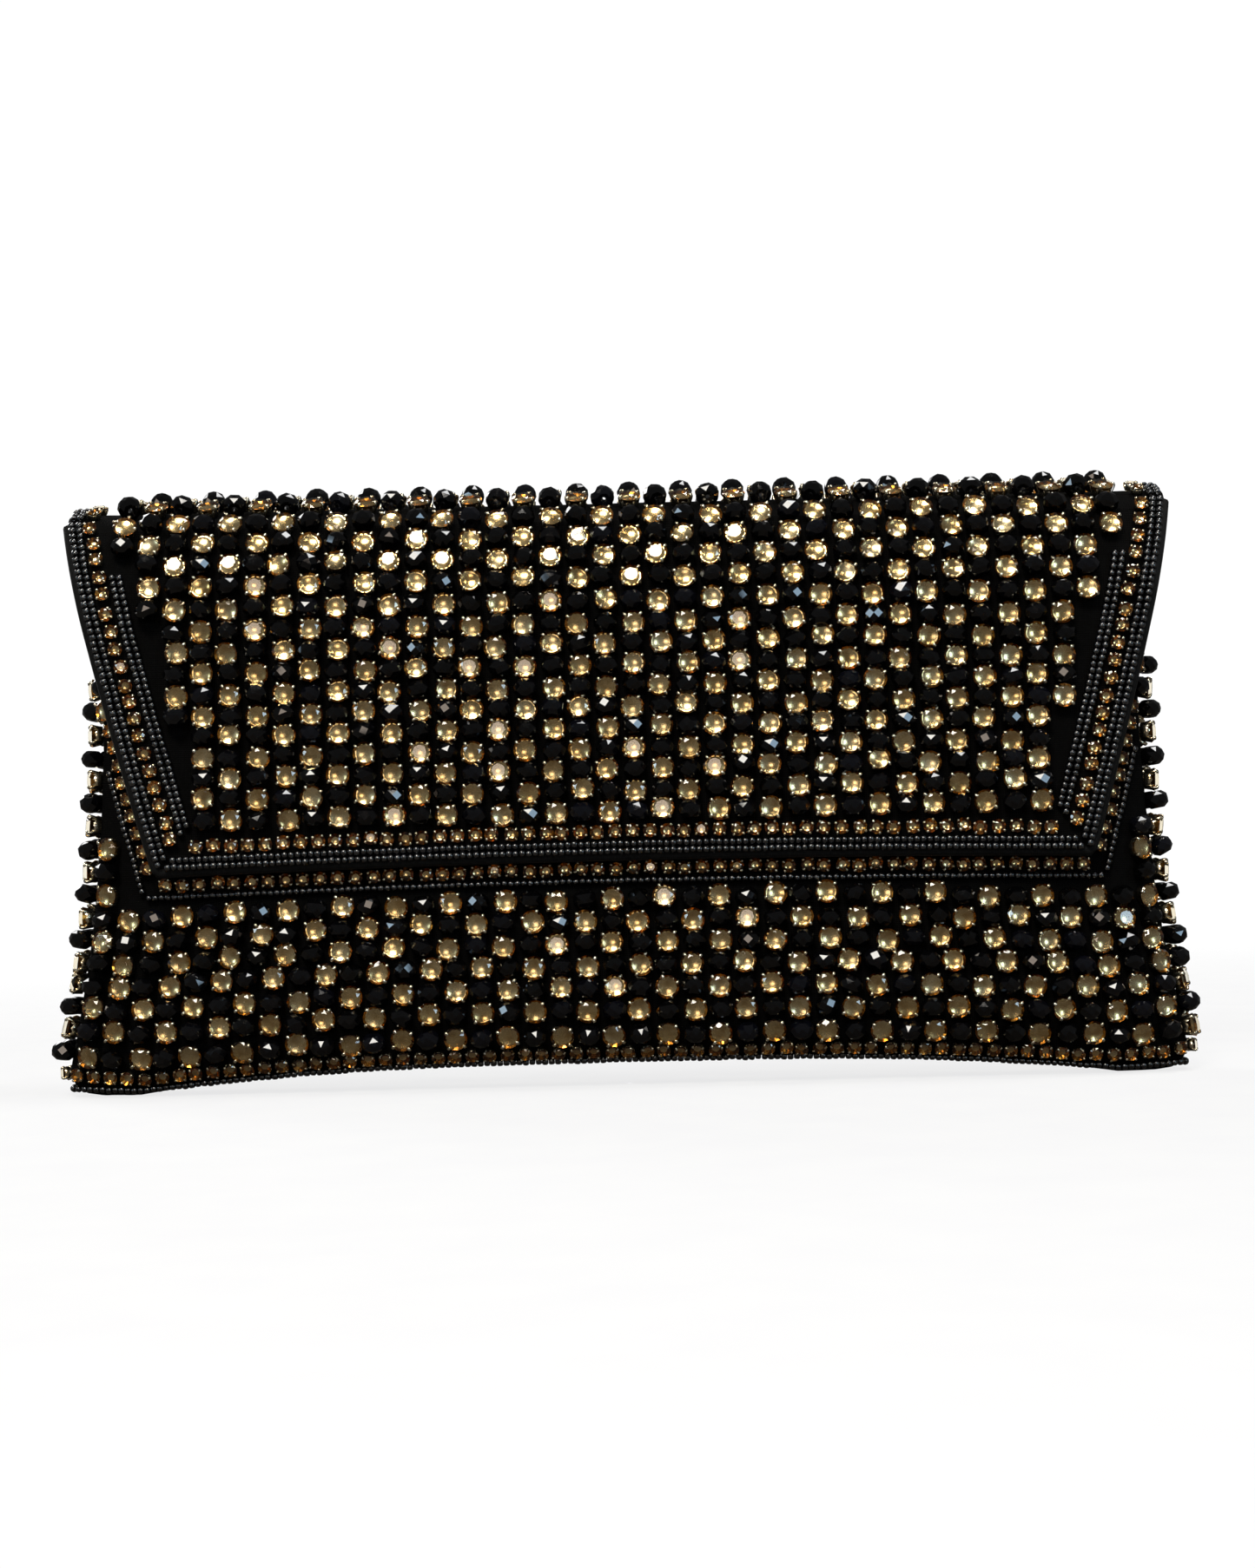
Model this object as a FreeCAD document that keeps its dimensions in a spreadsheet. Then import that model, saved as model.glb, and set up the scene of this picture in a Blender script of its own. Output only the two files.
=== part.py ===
import FreeCAD, Part
import Sketcher

import math
import os

# Envelope clutch purse with a beaded shell. X runs along the purse, -Y is the flap side and Z is up.
# The pouch stands on the two ends of its arched bottom; the flap hangs from a fold made of four
# strips with a hinge line between each pair, so that it rolls open without crowding its stones.

Vector = FreeCAD.Vector
doc = FreeCAD.newDocument("clutch_purse")
sheet = doc.addObject("Spreadsheet::Sheet", "sizes")

SIZES = [
    ("shift_y", 3.0, "moves the model so that its overall depth is centred"),
    ("gap", 0.15, "clearance between neighbouring pieces"),
    ("panel_top", 119.0, "height of the first fold line"),
    ("mouth_top", 115.5, "height of the front wall"),
    ("panel_bottom", 0.2, "height of the walls' lower edge"),
    ("half_width", 115.0, "half width of the cloth at mid height"),
    ("bottom_flare", 9.0, "extra half width at the bottom"),
    ("flare_height", 75.0, "height where the flare ends"),
    ("top_flare", 1.5, "extra half width at the top"),
    ("corner_round", 7.0, "radius of the bottom corners"),
    ("edge_depth", 6.0, "half depth at the bottom edge"),
    ("front_swell", 6.0, "how far the front swells beyond the bottom edge"),
    ("back_swell", 5.5, "how far the back swells beyond the bottom edge"),
    ("front_ease", 1.5, "how far the front draws in at the mouth"),
    ("back_ease", 1.6, "how far the back draws in at the fold"),
    ("roll_middle", 3.5, "how quickly the bottom rolls under in the middle"),
    ("roll_corner", 8.5, "how quickly the bottom rolls under at the corners"),
    ("plan_power", 3.5, "fullness of the plan section"),
    ("seam_back", 6.4, "how far back the side seam lies at the top"),
    ("arch", 5.6, "rise of the bottom edge in the middle"),
    ("arch_power", 3.0, "shape of the bottom arch"),
    ("cloth", 1.0, "thickness of the beaded cloth"),
    ("board", 1.2, "thickness of the stiffening board"),
    ("lining", 0.5, "thickness of the lining"),
    ("gusset_half", 4.6, "half depth of the bottom strip"),
    ("gusset_thick", 1.2, "thickness of the bottom strip"),
    ("foot_shift", -1.4, "how far the foot of the purse lies in front of its middle"),
    ("foot_clear", 1.1, "clearance between the bottom strip's ends and the cloth"),
    ("foot_in", 107.0, "inner end of each foot flat"),
    ("foot_out", 116.5, "outer end of each foot flat"),
    ("strip", 5.3, "length of one fold strip"),
    ("bend", 30.0, "turn at each fold line, in degrees"),
    ("flap_half_top", 120.0, "half width of the flap at the fold"),
    ("flap_half_tip", 100.5, "half width of the flap at its tip"),
    ("flap_arc", 46.0, "radius of the flap below the fold"),
    ("flap_bow", 0.6, "how far the flap's slanted edges bow out"),
    ("flap_tip", 47.9, "height of the flap's lower edge"),
    ("flap_hollow", 1.4, "rise of the lower edge in the middle"),
    ("flap_board", 0.7, "thickness of the flap's board"),
    ("binding", 0.6, "width of the flap's edge binding"),
    ("stone_pitch", 5.75, "column pitch of the beaded field"),
    ("row_pitch", 5.0, "row pitch of the lower front"),
    ("front_rows_top", 93.0, "rise above which the front has no rows, behind the flap"),
    ("wall_pitch", 5.25, "row pitch higher on the walls"),
    ("flap_pitch", 4.48, "row pitch on the flap"),
    ("stone_girdle", 2.45, "radius of a stone's girdle"),
    ("stone_table", 1.6, "radius of a stone's table"),
    ("stone_rise", 2.2, "height of a stone above its setting"),
    ("cup_radius", 2.3, "radius of a claw setting"),
    ("cup_rise", 1.5, "height of a claw setting"),
    ("rondelle_foot", 2.0, "radius of a rondelle at the cloth"),
    ("rondelle_face", 1.9, "radius of a rondelle at its face"),
    ("rondelle_rise", 3.2, "height of a rondelle"),
    ("chain_pitch", 3.7, "pitch of the small stone chain"),
    ("chain_girdle", 1.6, "radius of a chain stone's girdle"),
    ("chain_table", 1.05, "radius of a chain stone's table"),
    ("chain_rise", 1.3, "height of a chain stone above its cup"),
    ("chain_cup", 1.75, "radius of a chain cup"),
    ("chain_cup_rise", 1.0, "height of a chain cup"),
    ("seed_radius", 0.75, "radius of a seed bead"),
    ("seed_length", 1.25, "length of a seed bead"),
    ("seed_pitch", 1.4, "pitch of the seed beads on their thread"),
    ("strand_pitch", 1.6, "distance between two seed strands"),
    ("end_lift", 0.9, "how much higher the rows of beads run at the side seams"),
    ("snap_height", 62.0, "height of the snap's axis"),
    ("snap_radius", 7.0, "radius of the snap halves"),
    ("snap_thick", 1.2, "thickness of each snap half"),
    ("snap_hole", 2.7, "radius of the socket's hole"),
    ("snap_stud", 2.0, "radius of the stud"),
    ("stud_length", 0.8, "how far the stud stands out"),
    ("washer_thick", 0.6, "thickness of the snap washers"),
]
for number, (alias, value, note) in enumerate(SIZES, start=1):
    sheet.set(f"A{number}", alias)
    sheet.set(f"B{number}", str(value))
    sheet.set(f"C{number}", note)
    sheet.setAlias(f"B{number}", alias)
doc.recompute()


class Size:
    """Reads a driving dimension from the sheet by its alias."""

    def __getattr__(self, alias):
        return float(sheet.get(alias))


size = Size()
SHEET = sheet.Name
MOVE = FreeCAD.Placement(Vector(0, size.shift_y, 0), FreeCAD.Rotation())
PLAN_STEPS = 240
parts = []


def finish(obj, label, placement=MOVE):
    obj.Label = label
    obj.Placement = placement
    parts.append(obj)
    return obj


def feature(label, shape, placement=MOVE):
    obj = doc.addObject("Part::Feature", label)
    obj.Shape = shape
    return finish(obj, label, placement)


def ease(value):
    value = min(max(value, 0.0), 1.0)
    return value * value * (3 - 2 * value)


# ---------------------------------------------------------------- pouch surface


def arch_height(x):
    return size.arch * (1 - min(abs(x) / size.foot_in, 1.0) ** size.arch_power)


def half_width(rise):
    wide = size.half_width
    wide += size.bottom_flare * max(1 - rise / size.flare_height, 0) ** 2
    wide += size.top_flare * max((rise - 95) / 24, 0) ** 2
    if rise < size.corner_round:
        lean = 1 - rise / size.corner_round
        wide -= size.corner_round * (1 - math.sqrt(1 - lean * lean))
    return wide


def seam_line(rise):
    return size.seam_back * ease((rise - 45) / 67)


def half_depth(rise, x, side):
    """Half depth of the pouch; side is -1 on the front and 1 on the back."""
    reach = min(abs(x) / half_width(rise), 1)
    roll = size.roll_middle + (size.roll_corner - size.roll_middle) * reach**3
    swell, easing = size.front_swell, size.front_ease
    if side > 0:
        swell, easing = size.back_swell, size.back_ease
    return size.edge_depth + swell * (1 - math.exp(-rise / roll)) - easing * ease((rise - 70) / 45)


def wall_point(rise, x, side, inset=0.0):
    """Point of the pouch wall above x. Rise is the height measured at the foot of the purse."""
    wide = half_width(rise) - inset
    seam = seam_line(rise) + side * size.gap / 2
    deep = half_depth(rise, x, side) - inset - side * seam
    share = max(1 - min(abs(x) / wide, 1) ** size.plan_power, 0) ** (1 / size.plan_power)
    low = arch_height(x) + size.panel_bottom
    z = low + rise * (size.panel_top - low) / (size.panel_top - size.panel_bottom)
    shift = size.foot_shift * (1 - ease(rise / 45))
    return Vector(x, seam + side * deep * share + shift, z)


def climb(goal, reach, side):
    """Rise of the place that lies this length up the wall, at this share of the half width."""
    share = (1 - reach**size.plan_power) ** (1 / size.plan_power)
    length, rise, step = 0.0, 0.0, 0.05
    while length < goal:
        x = reach * half_width(rise)
        deeper = half_depth(rise + step, x, side) - half_depth(rise, x, side)
        length += math.hypot(step, share * deeper)
        rise += step
    return rise


class Level:
    """Height of a row of beads: the same length up the cloth all along, a little more at the seams."""

    def __init__(self, length, side):
        middle = climb(length, 0, side)
        self.rises = []
        for tenth in range(11):
            lift = size.end_lift * ease((tenth / 10 - 0.7) / 0.3)
            own = climb(length + lift, tenth / 10, side)
            self.rises.append(own + (middle - own) * ease(length / 110))

    def __call__(self, reach):
        tenth = min(int(reach * 10), 9)
        part = reach * 10 - tenth
        return self.rises[tenth] * (1 - part) + self.rises[tenth + 1] * part


class Row:
    """One line across the wall, measured along its length. Level gives the rise at each reach."""

    def __init__(self, level, side, inset=0.0, above=0.0):
        self.points = []
        for i in range(PLAN_STEPS + 1):
            cosine = math.cos(math.pi * i / PLAN_STEPS)
            reach = abs(cosine) ** (2 / size.plan_power)
            rise = level(reach) + above
            x = -math.copysign(reach, cosine) * (half_width(rise) - inset)
            self.points.append(wall_point(rise, x, side, inset))
        self.at = [0.0]
        for one, two in zip(self.points, self.points[1:]):
            self.at.append(self.at[-1] + (two - one).Length)
        self.length = self.at[-1]

    def point(self, share):
        goal = min(max(share, 0.0), 1.0) * self.length
        low, high = 0, len(self.at) - 1
        while high - low > 1:
            middle = (low + high) // 2
            if self.at[middle] <= goal:
                low = middle
            else:
                high = middle
        part = (goal - self.at[low]) / (self.at[high] - self.at[low])
        return self.points[low] + (self.points[high] - self.points[low]) * part


class BeadRow:
    """A row's line and one just above it, which together give the directions of the wall."""

    def __init__(self, length, side):
        level = Level(length, side)
        self.side, self.top = side, max(level.rises)
        self.line, self.above = Row(level, side), Row(level, side, above=0.25)
        self.length = self.line.length

    def frame(self, share):
        """Point, outward normal and lengthwise direction on the wall."""
        here = self.line.point(share)
        along = self.line.point(share + 0.004) - self.line.point(share - 0.004)
        up = self.above.point(share) - here
        normal = along.cross(up) * -self.side
        return here, normal.normalize(), along.normalize()


# ---------------------------------------------------------------- cloth sheets


def surface(grid):
    face = Part.BSplineSurface()
    face.interpolate(grid)
    return face


def thick_sheet(outer, inner):
    """Closed solid between two grids of points."""
    first, second = surface(outer), surface(inner)
    faces = [first.toShape(), second.toShape()]
    u1, u2, v1, v2 = first.bounds()
    s1, s2, t1, t2 = second.bounds()
    rims = [
        (first.uIso(u1), second.uIso(s1)),
        (first.uIso(u2), second.uIso(s2)),
        (first.vIso(v1), second.vIso(t1)),
        (first.vIso(v2), second.vIso(t2)),
    ]
    faces += [Part.makeRuledSurface(one.toShape(), two.toShape()) for one, two in rims]
    shell = Part.makeShell(faces)
    shell.sewShape()
    solid = Part.makeSolid(shell)
    if solid.Volume < 0:
        solid.reverse()
    return solid


def wall_grid(side, inset, low, high):
    levels = [0, 1.5, 3.5, 6, 9, 14, 22, 35, 50, 65, 80, 95, 106, 113, 119]
    stops = [r for r in levels if low < r < high - 1]
    grid = []
    for rise in [low, *stops, high]:
        row = Row(lambda reach: rise, side, inset)
        grid.append([row.point(i / 28) for i in range(29)])
    return grid


def wall_sheet(side, inset, thick, low, high):
    return thick_sheet(wall_grid(side, inset, low, high), wall_grid(side, inset + thick, low, high))


cloth, board, lining, gap = size.cloth, size.board, size.lining, size.gap
mouth = size.mouth_top
board_in = cloth + gap
lining_in = board_in + board + gap

snap_axis = wall_point(size.snap_height, 0, -1)
snap_z = snap_axis.z

feature("front_panel", wall_sheet(-1, 0, cloth, 0, mouth))
front_board = wall_sheet(-1, board_in, board, 1.5, mouth)
window = Part.makeCylinder(size.snap_radius + 1, 40, Vector(0, -30, snap_z), Vector(0, 1, 0))
feature("front_board", front_board.cut(window))
feature("front_lining", wall_sheet(-1, lining_in, lining, 1.5, mouth))
feature("back_panel", wall_sheet(1, 0, cloth, 0, size.panel_top - gap))
feature("back_board", wall_sheet(1, board_in, board, 1.5, mouth))
feature("back_lining", wall_sheet(1, lining_in, lining, 1.5, mouth))
feature(
    "mouth_binding",
    wall_sheet(-1, -0.35, lining_in + lining + 0.7, mouth + gap, mouth + gap + 1.6),
)


# ---------------------------------------------------------------- bottom strip


def role(body, name):
    return next(o for o in body.Origin.OriginFeatures if o.Role == name)


def bound_sketch(body, plane, corners):
    """Closed polygon whose corners are pairs of expressions held by the sheet."""
    sketch = body.newObject("Sketcher::SketchObject", body.Name + "_sketch")
    sketch.AttachmentSupport = [(role(body, plane), "")]
    sketch.MapMode = "FlatFace"
    values = [[float(sketch.evalExpression(e)) for e in corner] for corner in corners]
    points = [Vector(a, b, 0) for a, b in values]
    for one, two in zip(points, points[1:] + points[:1]):
        sketch.addGeometry(Part.LineSegment(one, two), False)
    count = len(points)
    for i in range(count):
        sketch.addConstraint(Sketcher.Constraint("Coincident", i, 2, (i + 1) % count, 1))
    for i, corner in enumerate(corners):
        for kind, text, value in zip(("DistanceX", "DistanceY"), corner, values[i]):
            at = sketch.addConstraint(Sketcher.Constraint(kind, -1, 1, i, 1, value))
            sketch.setExpression(f"Constraints[{at}]", text)
    return sketch


def pad(body, sketch, length, midplane=True):
    made = body.newObject("PartDesign::Pad", body.Name + "_pad")
    made.Profile = sketch
    made.setExpression("Length", length)
    made.Midplane = midplane
    sketch.Visibility = False
    return made


gusset = doc.addObject("PartDesign::Body", "gusset_strip")
reach = [0, 25, 45, 62, 76, 88, 98]
lower, upper = [], []
for x in reach:
    rise = f"{SHEET}.arch * (1 - ({x} / {SHEET}.foot_in) ^ {SHEET}.arch_power)"
    lower.append((str(x), rise))
    upper.append((str(x), f"{rise} + {SHEET}.gusset_thick"))
ends = [
    (f"{SHEET}.foot_in", "0"),
    (f"{SHEET}.foot_out", "0"),
    (f"{SHEET}.foot_out", f"{SHEET}.gusset_thick"),
    (f"{SHEET}.foot_in", f"{SHEET}.gusset_thick"),
]
right = lower[1:] + ends + upper[:0:-1]
left = [(f"-({x})", y) for x, y in reversed(right)]
corners = [lower[0], *right, upper[0], *left]
pad(gusset, bound_sketch(gusset, "XZ_Plane", corners), f"2 * {SHEET}.gusset_half")
outline = []
for i in range(72):
    turn = math.tau * (i + 0.5) / 72
    across, deep = abs(math.cos(turn)) ** (2 / size.plan_power), abs(math.sin(turn)) ** (2 / size.plan_power)
    across *= math.copysign(half_width(0) - cloth - size.foot_clear, math.cos(turn))
    outline.append(Vector(across, math.copysign(size.gusset_half * deep, math.sin(turn)), -1))
curve = Part.BSplineCurve()
curve.interpolate(outline, PeriodicFlag=True)
plan = doc.addObject("Part::Feature", "gusset_plan")
plan.Shape = Part.Face(Part.Wire(curve.toShape())).extrude(Vector(0, 0, 12))
cut = doc.addObject("Part::Common", "bottom_gusset")
cut.Base, cut.Tool = gusset, plan
foot_shift = Vector(0, size.foot_shift, 0)
finish(cut, "bottom_gusset", FreeCAD.Placement(MOVE.Base + foot_shift, FreeCAD.Rotation()))


# ---------------------------------------------------------------- fold and flap


def direction(angle):
    """Lengthwise and outward directions once the fold has turned this many degrees from upright."""
    turn = math.radians(angle)
    return Vector(0, -math.sin(turn), math.cos(turn)), Vector(0, math.cos(turn), math.sin(turn))


stack = lining + gap + cloth
hinge = Vector(0, half_depth(size.panel_top, 0, 1) - stack, size.panel_top)
hinges = [hinge]
for k in range(1, 5):
    hinges.append(hinges[-1] + direction(k * size.bend)[0] * size.strip)

arc_length = size.flap_arc * math.radians(size.bend)
drop = size.flap_arc * math.sin(math.radians(size.bend))
straight_top = hinges[4].z - drop
flap_length = arc_length + straight_top - size.flap_tip
flap_stack = lining + gap + size.flap_board + gap + cloth


def flap_point(x, length, out=0.0):
    """Point, lengthwise direction and outward normal on the closed flap."""
    turn = 180 - size.bend * max(1 - length / arc_length, 0)
    along, normal = direction(turn)
    if length < arc_length:
        centre = hinges[4] - direction(180 - size.bend)[1] * size.flap_arc
        base = centre + normal * size.flap_arc
    else:
        base = Vector(0, hinges[4].y - size.flap_arc * (1 - math.cos(math.radians(size.bend))), 0)
        base.z = straight_top - (length - arc_length)
    return Vector(x, base.y, base.z) + normal * out, along, normal


def flap_edge(z):
    """Half width of the flap at this height; below the tip its slanted edges run on straight."""
    share = (z - size.flap_tip) / (hinges[4].z - size.flap_tip)
    bow = size.flap_bow * 4 * max(share, 0) * (1 - share)
    return size.flap_half_tip + (size.flap_half_top - size.flap_half_tip) * share + bow


def flap_half(length):
    return flap_edge(flap_point(0, length)[0].z)


def tip_length(share):
    """Length of the flap at this share of its half width, because its edge is hollow."""
    return flap_length - size.flap_hollow * (1 - share * share)


def flap_grid(out, inset, root):
    grid = []
    count = 18
    for step in [i / count for i in range(count + 1)]:
        row = []
        for i in range(-6, 7):
            share = i / 6
            length = root + (tip_length(share) - inset - root) * step
            row.append(flap_point(share * (flap_half(length) - inset), length, out)[0])
        grid.append(row)
    return grid


def flap_sheet(low, thick, inset, root):
    return thick_sheet(flap_grid(low + thick, inset, root), flap_grid(low, inset, root))


board_out = lining + gap
cloth_out = board_out + size.flap_board + gap
inner = size.binding + gap
stud_z = snap_z
stud_y = flap_point(0, flap_length - 10)[0].y
flap_window = Part.makeCylinder(size.snap_radius + 1, 40, Vector(0, -40, stud_z), Vector(0, 1, 0))
feature("flap_cloth", flap_sheet(cloth_out, cloth, 0, gap))
feature("flap_board", flap_sheet(board_out, size.flap_board, inner, 6).cut(flap_window))
feature("flap_lining", flap_sheet(0, lining, inner, gap))
rim = flap_sheet(0, cloth_out - gap, 0, 5)
core = flap_sheet(-2, cloth_out + 4, size.binding, 0.5)
feature("flap_binding", rim.cut(core))

for k in range(1, 5):
    along, normal = direction(k * size.bend)
    turn = FreeCAD.Rotation(Vector(1, 0, 0), k * size.bend)
    for name, thick, out in (("lining", "lining", 0.0), ("cloth", "cloth", lining + gap)):
        box = doc.addObject("Part::Box", f"fold_{k}_{name}")
        box.setExpression("Length", f"2 * {SHEET}.flap_half_top")
        box.setExpression("Width", f"{SHEET}.{thick}")
        box.setExpression("Height", f"{SHEET}.strip - 2 * {SHEET}.gap")
        corner = hinges[k - 1] + along * gap + normal * out
        corner += Vector(-size.flap_half_top, size.shift_y, 0)
        finish(box, f"fold_{k}_{name}", FreeCAD.Placement(corner, turn))


# ---------------------------------------------------------------- snap


def disc(label, radius, thick, y, hole=None, stud=None):
    """Round snap piece whose axis is along Y and whose front face is at y."""
    body = doc.addObject("PartDesign::Body", label)
    sketch = body.newObject("Sketcher::SketchObject", label + "_ring")
    sketch.AttachmentSupport = [(role(body, "XZ_Plane"), "")]
    sketch.MapMode = "FlatFace"
    for i, text in enumerate([radius] + ([hole] if hole else [])):
        value = float(sketch.evalExpression(text))
        sketch.addGeometry(Part.Circle(Vector(0, 0, 0), Vector(0, 0, 1), value), False)
        sketch.addConstraint(Sketcher.Constraint("Coincident", i, 3, -1, 1))
        at = sketch.addConstraint(Sketcher.Constraint("Radius", i, value))
        sketch.setExpression(f"Constraints[{at}]", text)
    pad(body, sketch, thick, midplane=False).Reversed = True
    if stud:
        post = body.newObject("Sketcher::SketchObject", label + "_post")
        post.AttachmentSupport = [(role(body, "XZ_Plane"), "")]
        post.MapMode = "FlatFace"
        value = float(post.evalExpression(stud[0]))
        post.addGeometry(Part.Circle(Vector(0, 0, 0), Vector(0, 0, 1), value), False)
        post.addConstraint(Sketcher.Constraint("Coincident", 0, 3, -1, 1))
        at = post.addConstraint(Sketcher.Constraint("Radius", 0, value))
        post.setExpression(f"Constraints[{at}]", stud[0])
        peg = body.newObject("PartDesign::Pad", label + "_peg")
        peg.Profile = post
        peg.setExpression("Length", stud[1])
        peg.Reversed = True
    place = Vector(0, y + size.shift_y, snap_z)
    return finish(body, label, FreeCAD.Placement(place, FreeCAD.Rotation()))


R, T, W = f"{SHEET}.snap_radius", f"{SHEET}.snap_thick", f"{SHEET}.washer_thick"
disc("snap_socket", R, T, snap_axis.y - gap - size.snap_thick, hole=f"{SHEET}.snap_hole")
disc("snap_socket_washer", R, W, snap_axis.y + cloth + gap, hole=f"{SHEET}.snap_hole")
disc("snap_stud", R, T, stud_y + gap, stud=(f"{SHEET}.snap_stud", f"{T} + {SHEET}.stud_length"))
disc("snap_stud_washer", R, W, stud_y - board_out - size.washer_thick, hole=f"{SHEET}.snap_hole")


# ---------------------------------------------------------------- beads

beads = {}


def add_bead(node, shape):
    beads.setdefault(node, []).append(shape)


def taper(point, normal, low, radius, top, rise):
    return Part.makeCone(radius, top, rise, point + normal * low, normal)


def add_stone(name, point, normal):
    cup = Part.makeCylinder(size.cup_radius, size.cup_rise, point + normal * gap, normal)
    add_bead(f"{name}_settings", cup)
    seat = gap + size.cup_rise + 0.1
    add_bead(
        f"{name}_crystals",
        taper(point, normal, seat, size.stone_girdle, size.stone_table, size.stone_rise),
    )


def add_rondelle(name, point, normal):
    add_bead(
        f"{name}_rondelles",
        taper(point, normal, gap, size.rondelle_foot, size.rondelle_face, size.rondelle_rise),
    )


def add_chain(cups, stones, point, normal):
    add_bead(cups, Part.makeCylinder(size.chain_cup, size.chain_cup_rise, point + normal * gap, normal))
    seat = gap + size.chain_cup_rise + 0.1
    add_bead(stones, taper(point, normal, seat, size.chain_girdle, size.chain_table, size.chain_rise))


def add_seed(node, point, normal, along):
    middle = point + normal * (gap + size.seed_radius)
    start = middle - along * (size.seed_length / 2)
    add_bead(node, Part.makeCylinder(size.seed_radius, size.seed_length, start, along))


# Rondelles on the bulge of the back that carry the purse when it lies on its back, by column and row.
RESTING = {(-11, 3), (-1, 3), (9, 3), (-10, 12), (0, 12), (10, 12)}


def add_cell(name, column, row, point, normal):
    if (column + row) % 2:
        add_stone(name, point, normal)
    elif name == "back" and (column, row) in RESTING:
        add_rondelle("back_rest", point, normal)
    else:
        add_rondelle(name, point, normal)


def spaced(length, pitch):
    """Evenly spaced places on a run, with half a pitch left at both ends."""
    count = max(int(length / pitch), 1)
    return [(i + 0.5) * length / count for i in range(count)]


# Flap and fold: columns keep one pitch from the middle, rows count upwards from the tip.
seed_edge = size.binding + gap + size.seed_radius
chain_edge = seed_edge + size.strand_pitch + size.seed_radius + size.chain_cup + 0.1
lace_edge = chain_edge + size.chain_cup + size.seed_radius + 0.1
field_edge = lace_edge + size.strand_pitch + size.seed_radius + size.stone_girdle - 0.1
chain_clear = chain_edge + size.chain_cup + size.stone_girdle + 0.15
lace_start = 9.0
columns = range(-20, 20)


flap_slope = (size.flap_half_top - size.flap_half_tip) / (hinges[4].z - size.flap_tip)


def column_x(column):
    return (column + 0.5) * size.stone_pitch


def field_half(length):
    """Half width of the field: beside the lace it stops at the lace, above that at the chain."""
    edge = field_edge if length > lace_start else chain_clear
    return flap_half(length + 2) - edge * math.hypot(1, flap_slope)


length, row = flap_length - size.flap_hollow - chain_clear, 0
while length > size.stone_girdle + gap:
    for column in columns:
        x = column_x(column)
        if abs(x) <= field_half(length):
            point, along, normal = flap_point(x, length, flap_stack)
            add_cell("flap", column, row, point, normal)
    length, row = length - size.flap_pitch, row + 1

for k in range(4, 0, -1):
    along, normal = direction(k * size.bend)
    middle = hinges[k - 1] + along * (size.strip / 2) + normal * stack
    for column in columns:
        x = column_x(column)
        if abs(x) <= size.flap_half_top - chain_clear:
            add_cell(f"fold_{k}", column, row, Vector(x, middle.y, middle.z), normal)
    row += 1
    for side in (-1, 1):
        x = side * (size.flap_half_top - chain_edge)
        point = Vector(x, middle.y, middle.z)
        add_chain(f"fold_{k}_settings", f"fold_{k}_crystals", point, normal)
        for inset in (seed_edge, seed_edge + size.strand_pitch):
            for i in (-1, 0, 1):
                x = side * (size.flap_half_top - inset)
                point = Vector(x, middle.y, middle.z) + along * (i * 1.6)
                add_seed(f"fold_{k}_seeds", point, normal, along)


def flap_side(inset, pitch, start, side):
    """Places along one slanted edge of the flap."""
    run = []
    stop = flap_length - inset
    for place in spaced((stop - start) * math.hypot(1, flap_slope), pitch):
        length = start + place / math.hypot(1, flap_slope)
        slope = (flap_half(length - 1) - flap_half(length + 1)) / 2
        x = side * (flap_half(length) - inset * math.hypot(1, slope))
        point, along, normal = flap_point(x, length, flap_stack)
        tilt = (Vector(-side * slope, 0, 0) + along).normalize()
        run.append((point, normal, tilt))
    return run


def flap_tip_run(inset, pitch):
    half = flap_half(flap_length - inset) - inset - 0.9 * pitch
    run = []
    for place in spaced(2 * half, pitch):
        x = place - half
        length = tip_length(x / size.flap_half_tip) - inset
        point, along, normal = flap_point(x, length, flap_stack)
        run.append((point, normal, Vector(1, 0, 0)))
    return run


for inset in (seed_edge, seed_edge + size.strand_pitch):
    run = flap_side(inset, size.seed_pitch, 0.3, -1) + flap_side(inset, size.seed_pitch, 0.3, 1)
    for place in run + flap_tip_run(inset, size.seed_pitch):
        add_seed("flap_edge_seeds", *place)
run = flap_side(chain_edge, size.chain_pitch, 0.3, -1) + flap_side(chain_edge, size.chain_pitch, 0.3, 1)
for point, normal, along in run + flap_tip_run(chain_edge, size.chain_pitch):
    add_chain("flap_chain_cups", "flap_chain_crystals", point, normal)
for inset in (lace_edge, lace_edge + size.strand_pitch):
    for side in (-1, 1):
        for point, normal, along in flap_side(inset, size.seed_pitch, lace_start + 3.6, side):
            if point.z > size.flap_tip + chain_edge + size.chain_cup + 1:
                add_seed("flap_lace_seeds", point, normal, along)


# Border that follows the flap's outline on the front wall, just outside it.


def edge_z(x):
    return size.flap_tip + size.flap_hollow * max(1 - (x / size.flap_half_tip) ** 2, 0)


def beyond_flap(x, z):
    """How far a place on the front lies outside the hanging flap's outline."""
    return max((abs(x) - flap_edge(z)) / math.hypot(1, flap_slope), edge_z(x) - z)


def front_frame(x, z):
    """Point and normal of the front wall at x and z."""

    def at(x, z):
        low = arch_height(x) + size.panel_bottom
        rise = (z - low) * (size.panel_top - size.panel_bottom) / (size.panel_top - low)
        return wall_point(rise, x, -1)

    here = at(x, z)
    across, up = at(x + 0.2, z) - at(x - 0.2, z), at(x, z + 0.2) - at(x, z - 0.2)
    return here, across.cross(up).normalize()


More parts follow.
